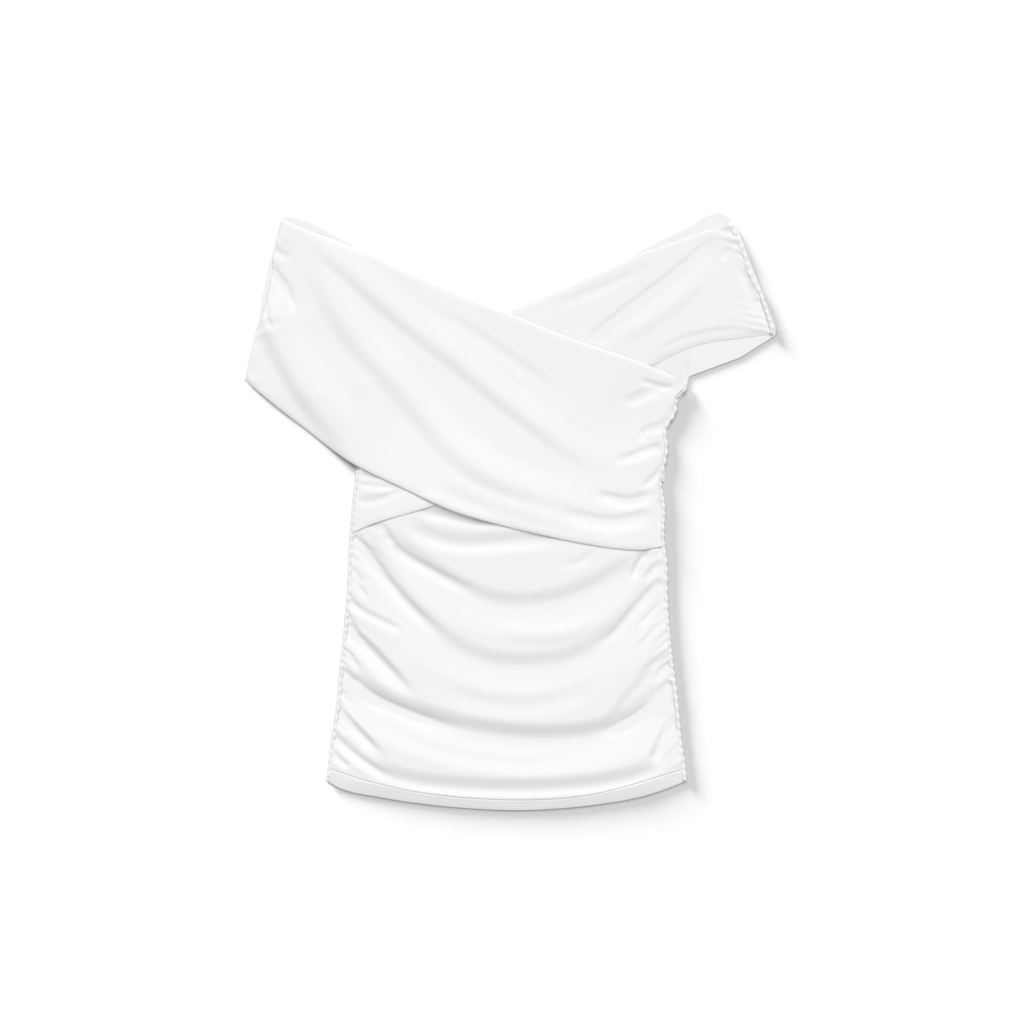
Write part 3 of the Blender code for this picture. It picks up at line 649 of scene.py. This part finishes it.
class HeightMap(Raster):
    """Heights over the whole garment, for laying one layer on another."""

    def __init__(self):
        super().__init__(RASTER_STEP)
        self.level = np.full(self.shape, AIR)

    def lay(self, inside, top):
        """Raises the map where a layer lies."""
        self.level = np.where(inside.reshape(self.shape), np.maximum(self.level, top.reshape(self.shape)),
                              self.level)

    def draped(self, spread, soften):
        """A copy that stretches like cloth over what lies below and sinks to the floor beyond it."""
        laid = (self.level > BACK_TOP / 2).astype(float)
        level = self.level * laid
        for _ in range(max(1, round(spread / RASTER_STEP))):
            padded = np.pad(level, 1, mode="edge")
            level = np.max([padded[1:-1, 1:-1], padded[:-2, 1:-1], padded[2:, 1:-1], padded[1:-1, :-2],
                            padded[1:-1, 2:]], axis=0)
        for _ in range(max(1, round(spread / RASTER_STEP))):
            laid = np.maximum.reduce([np.roll(laid, shift, axis) for shift in (-1, 0, 1) for axis in (0, 1)])
        return blurred(level * laid, soften) / np.maximum(blurred(laid, soften), 0.5)


class DepthMap(Raster):
    """How deep any point lies inside an outline, worked out once on a raster."""

    def __init__(self, outline):
        super().__init__(DEPTH_STEP)
        self.depth = depth_inside(self.points, outline).reshape(self.shape)

    def __call__(self, points):
        return self.read(self.depth, points)


inside_over = DepthMap(rim(over_band_plan(COARSE_STEP)))
inside_under = DepthMap(rim(under_band_plan(COARSE_STEP)))
inside_front = DepthMap(rim(side_to_side(left_side, right_side, hem_edge, front_top, np.linspace(0, 1, 40),
                                         np.linspace(0, 1, OUTLINE_SAMPLES))))
inside_back = DepthMap(np.vstack((smooth_rows(BACK_NECKLINE, OUTLINE_SAMPLES),
                                  np.array(BACK_LOWER)[::-1])))
UNDER_END = under_band_plan(COARSE_STEP)[:, -1]
OVER_END = over_band_plan(COARSE_STEP)[:, 0]


def front_lift(points):
    """How far the front's underside stands off the back."""
    x, y = points.T
    top = bpy.context.scene.crossover_top
    inward = np.minimum(x - left_side(y), right_side(y) - x)
    beside = ease(inward / top.loft_reach)
    up = y - hem_edge(x)
    ramp = np.clip(up / HEM_HEIGHT, 0.0, 1.0)
    lower = PUFF_SHARES[0] + sum(share * ease((up - PUFF_START) / width)
                                 for share, width in zip(PUFF_SHARES[1:], PUFF_WIDTHS))
    covered = np.maximum(inside_over(points), inside_under(points))
    shown = COVERED_LOFT + (1 - COVERED_LOFT) * (1 - faded(covered, COVERED_FADE))
    shown *= 1 - PRESSED_SHARE * faded(covered, PRESSED_FADE) * (1 - ease(inward / PRESSED_REACH))
    slack = top.side_lift + (top.body_loft - top.side_lift) * beside * lower
    slack += fold_heights(points, BODY_SWAGS) * (SWAGS_BESIDE + (1 - SWAGS_BESIDE) * beside)
    slack += fold_heights(points, BODY_CREASES) * ease(up / CREASE_FADE)
    left, right = x - front_left(y), front_right(y) - x
    small = gathers(left, y, LEFT_GATHERS) + gathers(right, y, RIGHT_GATHERS)
    slack += small * faded(up, GATHER_FADE) * faded(covered, GATHER_COVER)
    groove = -GROOVE_DEPTH * np.exp(-((y - hem_stitches(x)) / GROOVE_WIDTH) ** 2)
    slack = above_zero(slack + crumple(points, *BODY_CRUMPLE) * beside)
    return slack * ramp ** HEM_CURVE * shown + groove * faded(up, GROOVE_FADE)


def from_end(points, end):
    """How far to the left of a band's outer end each point lies."""
    return np.interp(points[:, 1], end[:, 1], end[:, 0]) - points[:, 0]


def under_lift(points, floor):
    """How high the under band's underside lies over a floor of the layers below it."""
    depth = inside_under(points)
    x, y = points.T
    armhole = faded(x, ARMHOLE_FADE) * (y < ARMHOLE_SLOPE * x + ARMHOLE_TOP)
    floor = floor - ARMHOLE_SAG * armhole * (1 - ease(depth / ARMHOLE_SAG_WIDTH))
    from_seam = from_end(points, UNDER_END)
    held = UNDER_HELD * (1 - ease(from_seam / UNDER_HELD_WIDTH))
    inner = rolled(depth + held, UNDER_ROLL + ARMHOLE_ROLL * armhole)
    shown = 1 - UNDER_PRESSED * ease(inside_over(points) / UNDER_PRESSED_WIDTH)
    own = UNDER_SLACK + fold_heights(points, UNDER_FOLDS) + gathers(from_seam, y, UNDER_PUCKERS)
    return floor + above_zero(own + crumple(points, *UNDER_CRUMPLE)) * inner * shown


def over_lift(points, floor):
    """How high the over band's underside lies over a floor of the layers below it."""
    x, y = points.T
    held = OVER_HELD * (1 - ease((front_right(y) - x) / OVER_HELD_WIDTH))
    inner = rolled(inside_over(points) + held, OVER_ROLL)
    puckers = gathers(-from_end(points, OVER_END), y, OVER_PUCKERS)
    own = OVER_SLACK + fold_heights(points, OVER_FOLDS) + puckers
    own = above_zero(own + crumple(points, *OVER_CRUMPLE))
    return floor + own * inner + fold_heights(points, EDGE_LIFT)


def shell(name, plan, under, thickness, weave, outline_depth):
    """A closed sheet with rounded edges over a grid of plan points, from its underside's height up."""
    rows, columns, _ = plan.shape
    half = thickness / 2
    inset = np.clip(outline_depth.reshape(rows, columns), 0, half)
    inset[0], inset[-1], inset[:, 0], inset[:, -1] = 0, 0, 0, 0
    swell = np.sqrt(np.maximum(half ** 2 - (half - inset) ** 2, 0))
    middle = under.reshape(rows, columns) + half
    count = rows * columns
    index = np.arange(count).reshape(rows, columns)
    below = index + count
    below[0], below[-1], below[:, 0], below[:, -1] = index[0], index[-1], index[:, 0], index[:, -1]
    flat = plan.reshape(-1, 2)
    places = np.vstack((np.column_stack((flat, (middle + swell).ravel())),
                        np.column_stack((flat, (middle - swell).ravel()))))

    def cells(grid, turned):
        a, b, c, d = grid[:-1, :-1], grid[:-1, 1:], grid[1:, 1:], grid[1:, :-1]
        order = (a, d, c, b) if turned else (a, b, c, d)
        return np.stack([part.ravel() for part in order], axis=1)

    faces = np.vstack((cells(index, False), cells(below, True)))
    used, faces = np.unique(faces, return_inverse=True)
    faces = faces.reshape(-1, 4)
    uv = np.vstack((weave.reshape(-1, 2), weave.reshape(-1, 2)))[used]
    return mesh_piece(name, metres(places[used]), faces, uv)


def mesh_piece(name, places, faces, uv=None):
    """A mesh object from points in metres and quads, smooth, with the cloth's own coordinates."""
    data = bpy.data.meshes.new(name)
    data.vertices.add(len(places))
    data.vertices.foreach_set("co", np.ascontiguousarray(places, dtype=np.float32).ravel())
    sides = faces.shape[1]
    data.loops.add(len(faces) * sides)
    data.loops.foreach_set("vertex_index", np.ascontiguousarray(faces, dtype=np.int32).ravel())
    data.polygons.add(len(faces))
    data.polygons.foreach_set("loop_start", np.arange(0, len(faces) * sides, sides, dtype=np.int32))
    data.update(calc_edges=True)
    data.validate()
    data.shade_smooth()
    if uv is not None:
        layer = data.uv_layers.new(name="cloth")
        layer.data.foreach_set("uv", uv[faces.ravel()].astype(np.float32).ravel())
    piece = bpy.data.objects.new(name, data)
    bpy.context.scene.collection.objects.link(piece)
    return piece


def cloth_lengths(plan):
    """Each point's place on the flat cloth, in metres, for the knit to follow."""
    across = np.concatenate((np.zeros((plan.shape[0], 1)), np.cumsum(
        np.linalg.norm(np.diff(plan, axis=1), axis=2), axis=1)), axis=1)
    up = np.concatenate((np.zeros((1, plan.shape[1])), np.cumsum(
        np.linalg.norm(np.diff(plan, axis=0), axis=2), axis=0)), axis=0)
    return np.stack((across, up), axis=2) * MM


def tube(path, radius, sides=6, flatten=1.0, radii=None):
    """Points and quads of a closed tube along a path in millimetres, a little flattened if asked."""
    path = np.asarray(path, float)
    ahead = np.gradient(path, axis=0)
    ahead /= np.maximum(np.linalg.norm(ahead, axis=1), 1e-9)[:, None]
    side = np.cross(ahead, (0.0, 0.0, 1.0))
    side /= np.maximum(np.linalg.norm(side, axis=1), 1e-9)[:, None]
    up = np.cross(side, ahead)
    size = np.full(len(path), radius) if radii is None else radii
    turn = np.linspace(0, 2 * np.pi, sides, endpoint=False)
    ring = (side[:, None, :] * np.cos(turn)[None, :, None]
            + up[:, None, :] * np.sin(turn)[None, :, None] * flatten) * size[:, None, None]
    points = (path[:, None, :] + ring).reshape(-1, 3)
    index = np.arange(len(path) * sides).reshape(len(path), sides)
    nxt = np.roll(index, -1, axis=1)
    quads = np.stack((index[:-1], nxt[:-1], nxt[1:], index[1:]), axis=2).reshape(-1, 4)
    first, last = len(points), len(points) + 1
    points = np.vstack((points, path[:1], path[-1:]))
    return points, quads[:, ::-1], (index[0], nxt[0], first), (nxt[-1], index[-1], last)


def tubes_piece(name, paths, radius, sides=6, flatten=1.0, radii=None):
    """Several closed tubes as one mesh, with fanned ends."""
    places, faces, done = [], [], 0
    for k, path in enumerate(paths):
        points, quads, start, end = tube(path, radius, sides, flatten, None if radii is None else radii[k])
        triangles = [np.stack((a, b, np.full(sides, tip)), axis=1) for a, b, tip in (start, end)]
        places.append(points)
        faces += [quads[:, (0, 1, 2)] + done, quads[:, (0, 2, 3)] + done]
        faces += [t + done for t in triangles]
        done += len(points)
    return mesh_piece(name, metres(np.vstack(places)), np.vstack(faces))


def add_node(tree, kind, settings=None, links=None):
    """Adds a node, sets its properties and inputs, and links the given inputs."""
    node = tree.nodes.new(kind)
    for key, value in (settings or {}).items():
        if hasattr(node, key) and key not in node.inputs:
            setattr(node, key, value)
        else:
            node.inputs[key].default_value = value
    for key, source in (links or {}).items():
        tree.links.new(source, node.inputs[key])
    return node


def new_material(name, inputs):
    """A material, its node tree and its shader with inputs set."""
    material = bpy.data.materials.new(name)
    material.use_nodes = True
    shader = material.node_tree.nodes["Principled BSDF"]
    for key, value in inputs.items():
        shader.inputs[key].default_value = value
    return material, material.node_tree, shader


def bumped(tree, shader, height, strength, distance):
    """Gives a shader fine relief of a depth in metres."""
    bump = add_node(tree, "ShaderNodeBump", {"Strength": strength, "Distance": distance}, {"Height": height})
    tree.links.new(bump.outputs["Normal"], shader.inputs["Normal"])


def shaded(tree, shader, texture, dark, light):
    """Lets a texture shade a shader between two colours."""
    tint = add_node(tree, "ShaderNodeValToRGB", {}, {"Fac": texture.outputs["Fac"]})
    for stop, colour in zip(tint.color_ramp.elements, (dark, light)):
        stop.color = (*colour, 1)
    tree.links.new(tint.outputs["Color"], shader.inputs["Base Color"])


def wave_scale(pitch):
    """Scale of a wave texture whose bands are a pitch apart, in millimetres."""
    return 2 * math.pi / (WAVE_FACTOR * pitch * MM)


def jersey_material(name, colour, unevenness):
    """Fine cotton jersey, bleached white: a matte knit whose fibres catch a little light at its edges."""
    material, tree, shader = new_material(name, {
        "Roughness": 0.92, "Specular IOR Level": 0.18, "Sheen Weight": 0.12, "Sheen Roughness": 0.55,
        "Sheen Tint": (1.0, 1.0, 1.0, 1.0)})
    cloth = add_node(tree, "ShaderNodeUVMap", {"uv_map": "cloth"})
    place = add_node(tree, "ShaderNodeTexCoord")
    # Wales run up the cloth and courses across it, so that it looks knitted and not like paper
    wales, courses = (add_node(tree, "ShaderNodeTexWave", {"bands_direction": direction,
                                                           "Scale": wave_scale(pitch), "Distortion": 0.6},
                               {"Vector": cloth.outputs["UV"]})
                      for direction, pitch in (("X", WALE_PITCH), ("Y", COURSE_PITCH)))
    knit = add_node(tree, "ShaderNodeMath", {"operation": "MULTIPLY"})
    tree.links.new(wales.outputs["Fac"], knit.inputs[0])
    tree.links.new(courses.outputs["Fac"], knit.inputs[1])
    # Loose fibres and uneven yarn over 3 to 6 mm
    fibres = add_node(tree, "ShaderNodeTexNoise", {"Scale": 260.0, "Detail": 3.0, "Roughness": 0.6},
                      {"Vector": place.outputs["Object"]})
    yarn = add_node(tree, "ShaderNodeMath", {"operation": "ADD"})
    tree.links.new(knit.outputs["Value"], yarn.inputs[0])
    tree.links.new(fibres.outputs["Fac"], yarn.inputs[1])
    bumped(tree, shader, yarn.outputs["Value"], 0.5, 0.00016)
    # Slight, broad changes of shade in the bleached yarn
    patches = add_node(tree, "ShaderNodeTexNoise", {"Scale": 22.0, "Detail": 2.0},
                       {"Vector": place.outputs["Object"]})
    shaded(tree, shader, patches, [part * (1 - unevenness) for part in colour], colour)
    return material


def thread_material():
    """Spun polyester sewing thread, white: a little smoother and shinier than the cloth."""
    material, tree, shader = new_material("sewing thread", {"Roughness": 0.6, "Sheen Weight": 0.1})
    place = add_node(tree, "ShaderNodeTexCoord")
    twist = add_node(tree, "ShaderNodeTexWave", {"bands_direction": "DIAGONAL", "Scale": 900.0},
                     {"Vector": place.outputs["Object"]})
    bumped(tree, shader, twist.outputs["Fac"], 0.4, 0.0001)
    # The twist's grooves, where the bump is low, are also painted darker: painted shade in the grooves on
    # top of the relief
    shaded(tree, shader, twist, linear("#DEDEDC"), linear("#EEEEEC"))
    return material


def paper_material():
    """Matte white paper with a faint grain."""
    material, tree, shader = new_material("white paper sweep", {"Roughness": 0.9})
    place = add_node(tree, "ShaderNodeTexCoord")
    grain = add_node(tree, "ShaderNodeTexNoise", {"Scale": 900.0}, {"Vector": place.outputs["Object"]})
    shaded(tree, shader, grain, linear("#C8C8C8"), linear("#CBCBCB"))
    return material


def dress(piece, node, material):
    """Puts a finish on a piece that stands for a node of the frame."""
    piece.data.materials.append(material)
    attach(piece, "root")
    if node:
        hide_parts(node)


MATERIALS = {}           # the finishes, once they are made
LEVELS = {}              # the height map that each layer raises for the next


def step():
    return bpy.context.scene.crossover_top.detail


def size_setting(name, description, default, low, high):
    return FloatProperty(name=name, description=description, default=default, min=low, max=high)


def strength_setting(name, description, default):
    return FloatProperty(name=name, description=description, default=default, min=0.0)


def angle_setting(name, description, degrees):
    return FloatProperty(name=name, description=description, subtype="ANGLE", default=math.radians(degrees))


class TopSettings(bpy.types.PropertyGroup):
    """Sizes and colours of the top."""
    fold_depth: size_setting("Fold depth", "Depth of every fold against its own size", 1.35, 0.0, 3.0)
    body_loft: size_setting("Body loft", "How far the front stands off the back, in mm", 9.5, 0.0, 20.0)
    side_lift: size_setting("Side lift", "How far it stands off beside the seams, in mm", 3.0, 0.0, 10.0)
    loft_reach: size_setting("Loft reach", "Width over which it falls to the seams, in mm", 60.0, 5.0, 120.0)
    detail: size_setting("Cloth detail", "Spacing of the cloth's points, in mm", SHELL_STEP, 1.0, 10.0)
    hem_stitch: size_setting("Hem stitch", "Length of one hem stitch, in mm", 2.9, 1.0, 6.0)
    cloth: FloatVectorProperty(name="Cloth", description="Colour of the jersey", subtype="COLOR",
                               default=linear("#EDEDED"), min=0.0, max=1.0)


class StudioSettings(bpy.types.PropertyGroup):
    """Light and floor of the picture."""
    key: strength_setting("Key light", "Strength of the soft light over the garment", 2.42)
    key_elevation: angle_setting("Key elevation", "Height of the key light over the floor", 60)
    key_heading: angle_setting("Key heading", "Where the key light comes from, from +X", 84)
    key_softness: angle_setting("Key softness", "Angular size of the key light", 50)
    sweep: strength_setting("Sweep light", "Strength of the light that whitens the paper", 11.8)
    sweep_elevation: angle_setting("Sweep elevation", "Height of the sweep light over the floor", 10.5)
    sweep_heading: angle_setting("Sweep heading", "Where the sweep light comes from, from +X", 130)
    sweep_softness: angle_setting("Sweep softness", "Angular size of the sweep light", 19)
    fill: strength_setting("Fill light", "Strength of the even light all round", 0.41)
    distance: FloatProperty(name="Camera distance", description="Height of the camera over the floor",
                            subtype="DISTANCE", default=2.6)


class TOP_OT_materials(bpy.types.Operator):
    """Make the jersey and the sewing thread"""
    bl_idname = "crossover_top.materials"
    bl_label = "Materials"

    def execute(self, context):
        colour = context.scene.crossover_top.cloth
        MATERIALS["jersey"] = jersey_material("white jersey", colour, 0.012)
        MATERIALS["seam"] = jersey_material("white jersey, seam edge", colour, 0.02)
        MATERIALS["thread"] = thread_material()
        return {"FINISHED"}


class TOP_OT_back(bpy.types.Operator):
    """Lay out the back band, the back body and its hem"""
    bl_idname = "crossover_top.back"
    bl_label = "Back"

    def execute(self, context):
        spacing = step() * BACK_SPACING
        even = np.linspace(BACK_LOWER[0].x, BACK_LOWER[-1].x, round(BACK_BAND_SIZE.across / spacing))
        notches = [corner.x for corner in BACK_LOWER[BACK_NOTCHES]]
        x = np.unique(np.concatenate((even, notches)))
        low = np.stack((x, np.interp(x, [p.x for p in BACK_LOWER], [p.y for p in BACK_LOWER])), axis=1)
        high = np.stack((x, read_smooth(BACK_NECKLINE, x)), axis=1)
        v = graded(BACK_BAND_SIZE.up, spacing)[:, None, None]
        plans = {"back_band": low[None] * (1 - v) + high[None] * v}
        u = graded(BACK_SIZE.across, spacing)
        plans["back_body"] = side_to_side(left_side, right_side, back_foot, back_seam, u,
                                          graded(BACK_SIZE.up, spacing))
        plans["back_hem"] = side_to_side(left_side, right_side, hem_edge, hem_stitches, u,
                                         graded(HEM_HEIGHT, BACK_HEM_STEP))
        for name, plan in plans.items():
            points = plan.reshape(-1, 2)
            x, y = points.T
            left, right = x - left_side(y), right_side(y) - x
            if name == "back_band":
                depth = depth_inside(points, rim(plan))
                under = np.maximum(fold_heights(points, BACK_FOLDS) * BACK_BAND_FOLDS, 0)
            else:
                depth = edge_distance(plan)
                away = ease(np.minimum(left, right) / BACK_FADE)
                under = np.maximum(fold_heights(points, BACK_FOLDS) * away, 0)
            thickness = BACK_TOP
            if name == "back_body":
                under += gathers(left, y, BACK_LEFT_GATHERS) + gathers(right, y, BACK_RIGHT_GATHERS)
                thickness *= BACK_BODY_SHARE
            piece = shell(name + "_cloth", plan, under, thickness, cloth_lengths(plan), depth)
            dress(piece, name, MATERIALS["jersey"])
        return {"FINISHED"}


def edge_distance(plan, joined=()):
    """Distance of each grid point to the nearest edge of its grid that isn't joined to another piece."""
    sizes = []
    for axis, names in ((0, ("lower", "upper")), (1, ("left", "right"))):
        run = np.linalg.norm(np.diff(plan, axis=axis), axis=2)
        start = np.cumsum(run, axis=axis)
        start = np.concatenate((np.zeros_like(np.take(start, [0], axis=axis)), start), axis=axis)
        total = np.take(start, [-1], axis=axis)
        sizes += [length for name, length in zip(names, (start, total - start)) if name not in joined]
    return np.min(sizes, axis=0)


class TOP_OT_front(bpy.types.Operator):
    """Lay the ruched front body and its hem on the back"""
    bl_idname = "crossover_top.front"
    bl_label = "Front body"

    def execute(self, context):
        base = BACK_TOP + AIR
        u = graded(FRONT_SIZE.across, step())
        plans = {
            "front_body": side_to_side(front_left, front_right, front_foot, front_top, u,
                                       graded(FRONT_SIZE.up, step())),
            "front_hem": side_to_side(front_left, front_right, hem_edge, hem_stitches, u,
                                      graded(HEM_HEIGHT, FRONT_HEM_STEP)),
        }
        for name, plan in plans.items():
            points = plan.reshape(-1, 2)
            thickness = PLY if name == "front_body" else PLY + AIR / 2
            under = base + front_lift(points) + PLY - thickness
            joined = ("lower",) if name == "front_body" else ("upper",)
            piece = shell(name + "_cloth", plan, under, thickness, cloth_lengths(plan),
                          edge_distance(plan, joined))
            dress(piece, name, MATERIALS["jersey"])
        ground = LEVELS["top"] = HeightMap()
        ground.lay(inside_back(ground.points) > 0, np.full(len(ground.points), BACK_TOP))
        ground.lay(inside_front(ground.points) > 0, base + front_lift(ground.points) + PLY)
        return {"FINISHED"}


def sewn_down(ground, draped, name):
    """Brings a band down to the side seam that its inner end is sewn into."""
    x, y = ground.points.T
    from_seam = front_right(y) - x if name == "over_band" else x - front_left(y)
    near = (y < SEWN_TOP) & (from_seam > -SEWN_MARGIN)
    sewn = np.where(near, 1 - ease(from_seam / SEWN_REACH), 0.0).reshape(ground.shape)
    level = draped * (1 - sewn) + (BACK_TOP + AIR + SEWN_LEVEL) * sewn
    return blurred(np.where(sewn > 0, np.maximum(level, ground.level), level), SEWN_SOFTNESS)


class TOP_OT_bands(bpy.types.Operator):
    """Cross the two folded bands over the front"""
    bl_idname = "crossover_top.bands"
    bl_label = "Bands"

    def execute(self, context):
        ground = LEVELS["top"]
        for name, plan_of, lift, inside in (("under_band", under_band_plan, under_lift, inside_under),
                                            ("over_band", over_band_plan, over_lift, inside_over)):
            loose, close = ground.draped(*LOOSE_DRAPE), ground.draped(*CLOSE_DRAPE) - CLOSE_SAG
            draped = sewn_down(ground, blurred(np.maximum(loose, close), BAND_SOFTNESS), name)
            plan = plan_of(step())
            points = plan.reshape(-1, 2)
            under = lift(points, ground.read(draped, points) + AIR)
            piece = shell(name + "_cloth", plan, under, FOLDED, cloth_lengths(plan), edge_distance(plan))
            dress(piece, name, MATERIALS["jersey"])
            top = lift(ground.points, ground.read(draped, ground.points) + AIR) + FOLDED
            ground.lay(inside(ground.points) > 0, top)
        return {"FINISHED"}


class TOP_OT_seams(bpy.types.Operator):
    """Run the overlocked, gathered seam edges down both sides and round the shoulder"""
    bl_idname = "crossover_top.seams"
    bl_label = "Seam edges"

    def execute(self, context):
        base = BACK_TOP + AIR
        lines = {}
        for name, side, out, (foot_x, top_y) in (("side_seam_left", left_side, -1, LEFT_SEAM),
                                                 ("side_seam_right", right_side, 1, RIGHT_SEAM)):
            y = np.arange(hem_edge(foot_x) + 1.0, top_y, SEAM_STEP)
            lines[name] = np.stack((side(y) - out * SEAM_WIDTH / 2, y), axis=1)
        end = under_band_plan(SHOULDER_STEP)[:, -1]
        line = smooth_rows(end, round(lengths_along(end)[-1] / SEAM_STEP))
        lines["shoulder_seam"] = line + (SEAM_WIDTH / 2 - 2 * TUCK, 0.0)
        for name, line in lines.items():
            run = lengths_along(line)
            ripple = np.cos(2 * np.pi * (run / SEAM_PITCH + swing(run, RIPPLE_WANDER)))
            swell = SEAM_WIDTH / 2 * (0.92 + RIPPLE_WIDTH * ripple)
            swell[0] = swell[-1] = SEAM_WIDTH / 4
            path = np.column_stack((line[:, 0] + RIPPLE_SIDE * ripple, line[:, 1],
                                    base + SEAM_LEVEL + RIPPLE_RISE * ripple))
            piece = tubes_piece(name + "_edge", [path], SEAM_WIDTH / 2, 12, SEAM_FLATNESS, [swell])
            dress(piece, name, MATERIALS["seam"])
            overlock(name, path, run, swell)
        return {"FINISHED"}


def overlock(name, path, run, swell):
    """Looper threads that lace back and forth over a seam edge."""
    count = int(run[-1] / LACE_PITCH)
    at = np.linspace(0.5, count - 0.5, count * LACE_POINTS)
    centre = np.stack([np.interp(at * LACE_PITCH, run, path[:, k]) for k in range(3)], axis=1)
    ahead = np.gradient(centre, axis=0)
    side = np.cross(ahead, (0.0, 0.0, 1.0))
    side /= np.linalg.norm(side, axis=1)[:, None]
    size = np.interp(at * LACE_PITCH, run, swell)
    sway = np.sin(2 * np.pi * at)
    lace = centre + side * (sway * size * LACE_REACH)[:, None]
    lace[:, 2] += SEAM_FLATNESS * size * np.sqrt(1 - LACE_BOW * sway ** 2) - LACE_SINK
    piece = tubes_piece(name + "_overlock", [lace], THREAD, THREAD_SIDES)
    dress(piece, None, MATERIALS["thread"])


class TOP_OT_stitches(bpy.types.Operator):
    """Sew the twin row of stitches along the front hem"""
    bl_idname = "crossover_top.stitches"
    bl_label = "Hem stitches"

    def execute(self, context):
        length = context.scene.crossover_top.hem_stitch
        x = np.linspace(*STITCH_ENDS, ROW_SAMPLES)
        paths = []
        for offset in STITCH_ROWS:
            line = np.stack((x, hem_stitches(x) + offset), axis=1)
            run = lengths_along(line)
            for start in np.arange(0.5, run[-1] - length, length):
                at = np.linspace(start, start + length * STITCH_SHARE, STITCH_POINTS)
                place = np.stack([np.interp(at, run, line[:, k]) for k in range(2)], axis=1)
                level = BACK_TOP + AIR + front_lift(place) + PLY
                dip = STITCH_DIP * np.abs(np.linspace(-1, 1, STITCH_POINTS)) ** 3
                paths.append(np.column_stack((place, level + STITCH_PROUD - dip)))
        piece = tubes_piece("hem_stitches", paths, STITCH_THREAD, THREAD_SIDES)
        dress(piece, None, MATERIALS["thread"])
        return {"FINISHED"}


class TOP_OT_stage(bpy.types.Operator):
    """Set up the pale floor, the soft light and the camera above"""
    bl_idname = "crossover_top.stage"
    bl_label = "Stage"

    def execute(self, context):
        scene = context.scene
        studio = scene.crossover_studio
        bpy.ops.object.select_all(action="DESELECT")
        bpy.ops.mesh.primitive_plane_add(size=FLOOR_SIZE, location=(0.0, 0.0, -FLOOR_DROP))
        floor = context.object
        floor.name = "floor"
        floor.data.materials.append(paper_material())

        world = bpy.data.worlds.new("studio")
        world.use_nodes = True
        back = world.node_tree.nodes["Background"]
        back.inputs["Color"].default_value = (1.0, 1.0, 1.0, 1.0)
        back.inputs["Strength"].default_value = studio.fill
        scene.world = world

        for name in ("key", "sweep"):
            light = bpy.data.lights.new(name, "SUN")
            light.energy = getattr(studio, name)
            light.angle = getattr(studio, name + "_softness")
            lamp = bpy.data.objects.new(name, light)
            elevation, heading = getattr(studio, name + "_elevation"), getattr(studio, name + "_heading")
            lamp.rotation_euler = (math.pi / 2 - elevation, 0.0, heading + math.pi / 2)
            scene.collection.objects.link(lamp)
            if name == "sweep":
                paper_only = bpy.data.collections.new("paper sweep")
                paper_only.objects.link(floor)
                lamp.light_linking.receiver_collection = paper_only

        lens = bpy.data.cameras.new("camera")
        lens.sensor_width = SENSOR_WIDTH
        lens.lens = SENSOR_WIDTH * studio.distance / (PICTURE_WIDTH * PIXEL_SIZE * MM)
        lens.clip_end = FAR_END
        camera = bpy.data.objects.new("camera", lens)
        camera.location = (0.0, 0.0, studio.distance)
        scene.collection.objects.link(camera)
        scene.camera = camera
        scene.view_settings.view_transform = "Standard"
        scene.view_settings.look = "None"
        return {"FINISHED"}


class TOP_PT_panel(bpy.types.Panel):
    """Sizes of the top and the steps that build it"""
    bl_label = "Crossover Top"
    bl_idname = "TOP_PT_panel"
    bl_space_type = "VIEW_3D"
    bl_region_type = "UI"
    bl_category = "Crossover Top"

    def draw(self, context):
        layout = self.layout
        for settings in (context.scene.crossover_top, context.scene.crossover_studio):
            column = layout.column(align=True)
            for name in settings.__annotations__:
                column.prop(settings, name)
        for operator in OPERATORS:
            layout.operator(operator.bl_idname)


OPERATORS = (TOP_OT_materials, TOP_OT_stage, TOP_OT_back, TOP_OT_front, TOP_OT_bands, TOP_OT_seams,
             TOP_OT_stitches)
CLASSES = (TopSettings, StudioSettings) + OPERATORS + (TOP_PT_panel,)


def register():
    for cls in CLASSES:
        bpy.utils.register_class(cls)
    bpy.types.Scene.crossover_top = PointerProperty(type=TopSettings)
    bpy.types.Scene.crossover_studio = PointerProperty(type=StudioSettings)


def unregister():
    del bpy.types.Scene.crossover_studio
    del bpy.types.Scene.crossover_top
    for cls in reversed(CLASSES):
        bpy.utils.unregister_class(cls)


def main():
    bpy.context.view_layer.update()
    register()
    for operator in OPERATORS:
        group, name = operator.bl_idname.split(".")
        getattr(getattr(bpy.ops, group), name)()


if __name__ == "__main__":
    main()
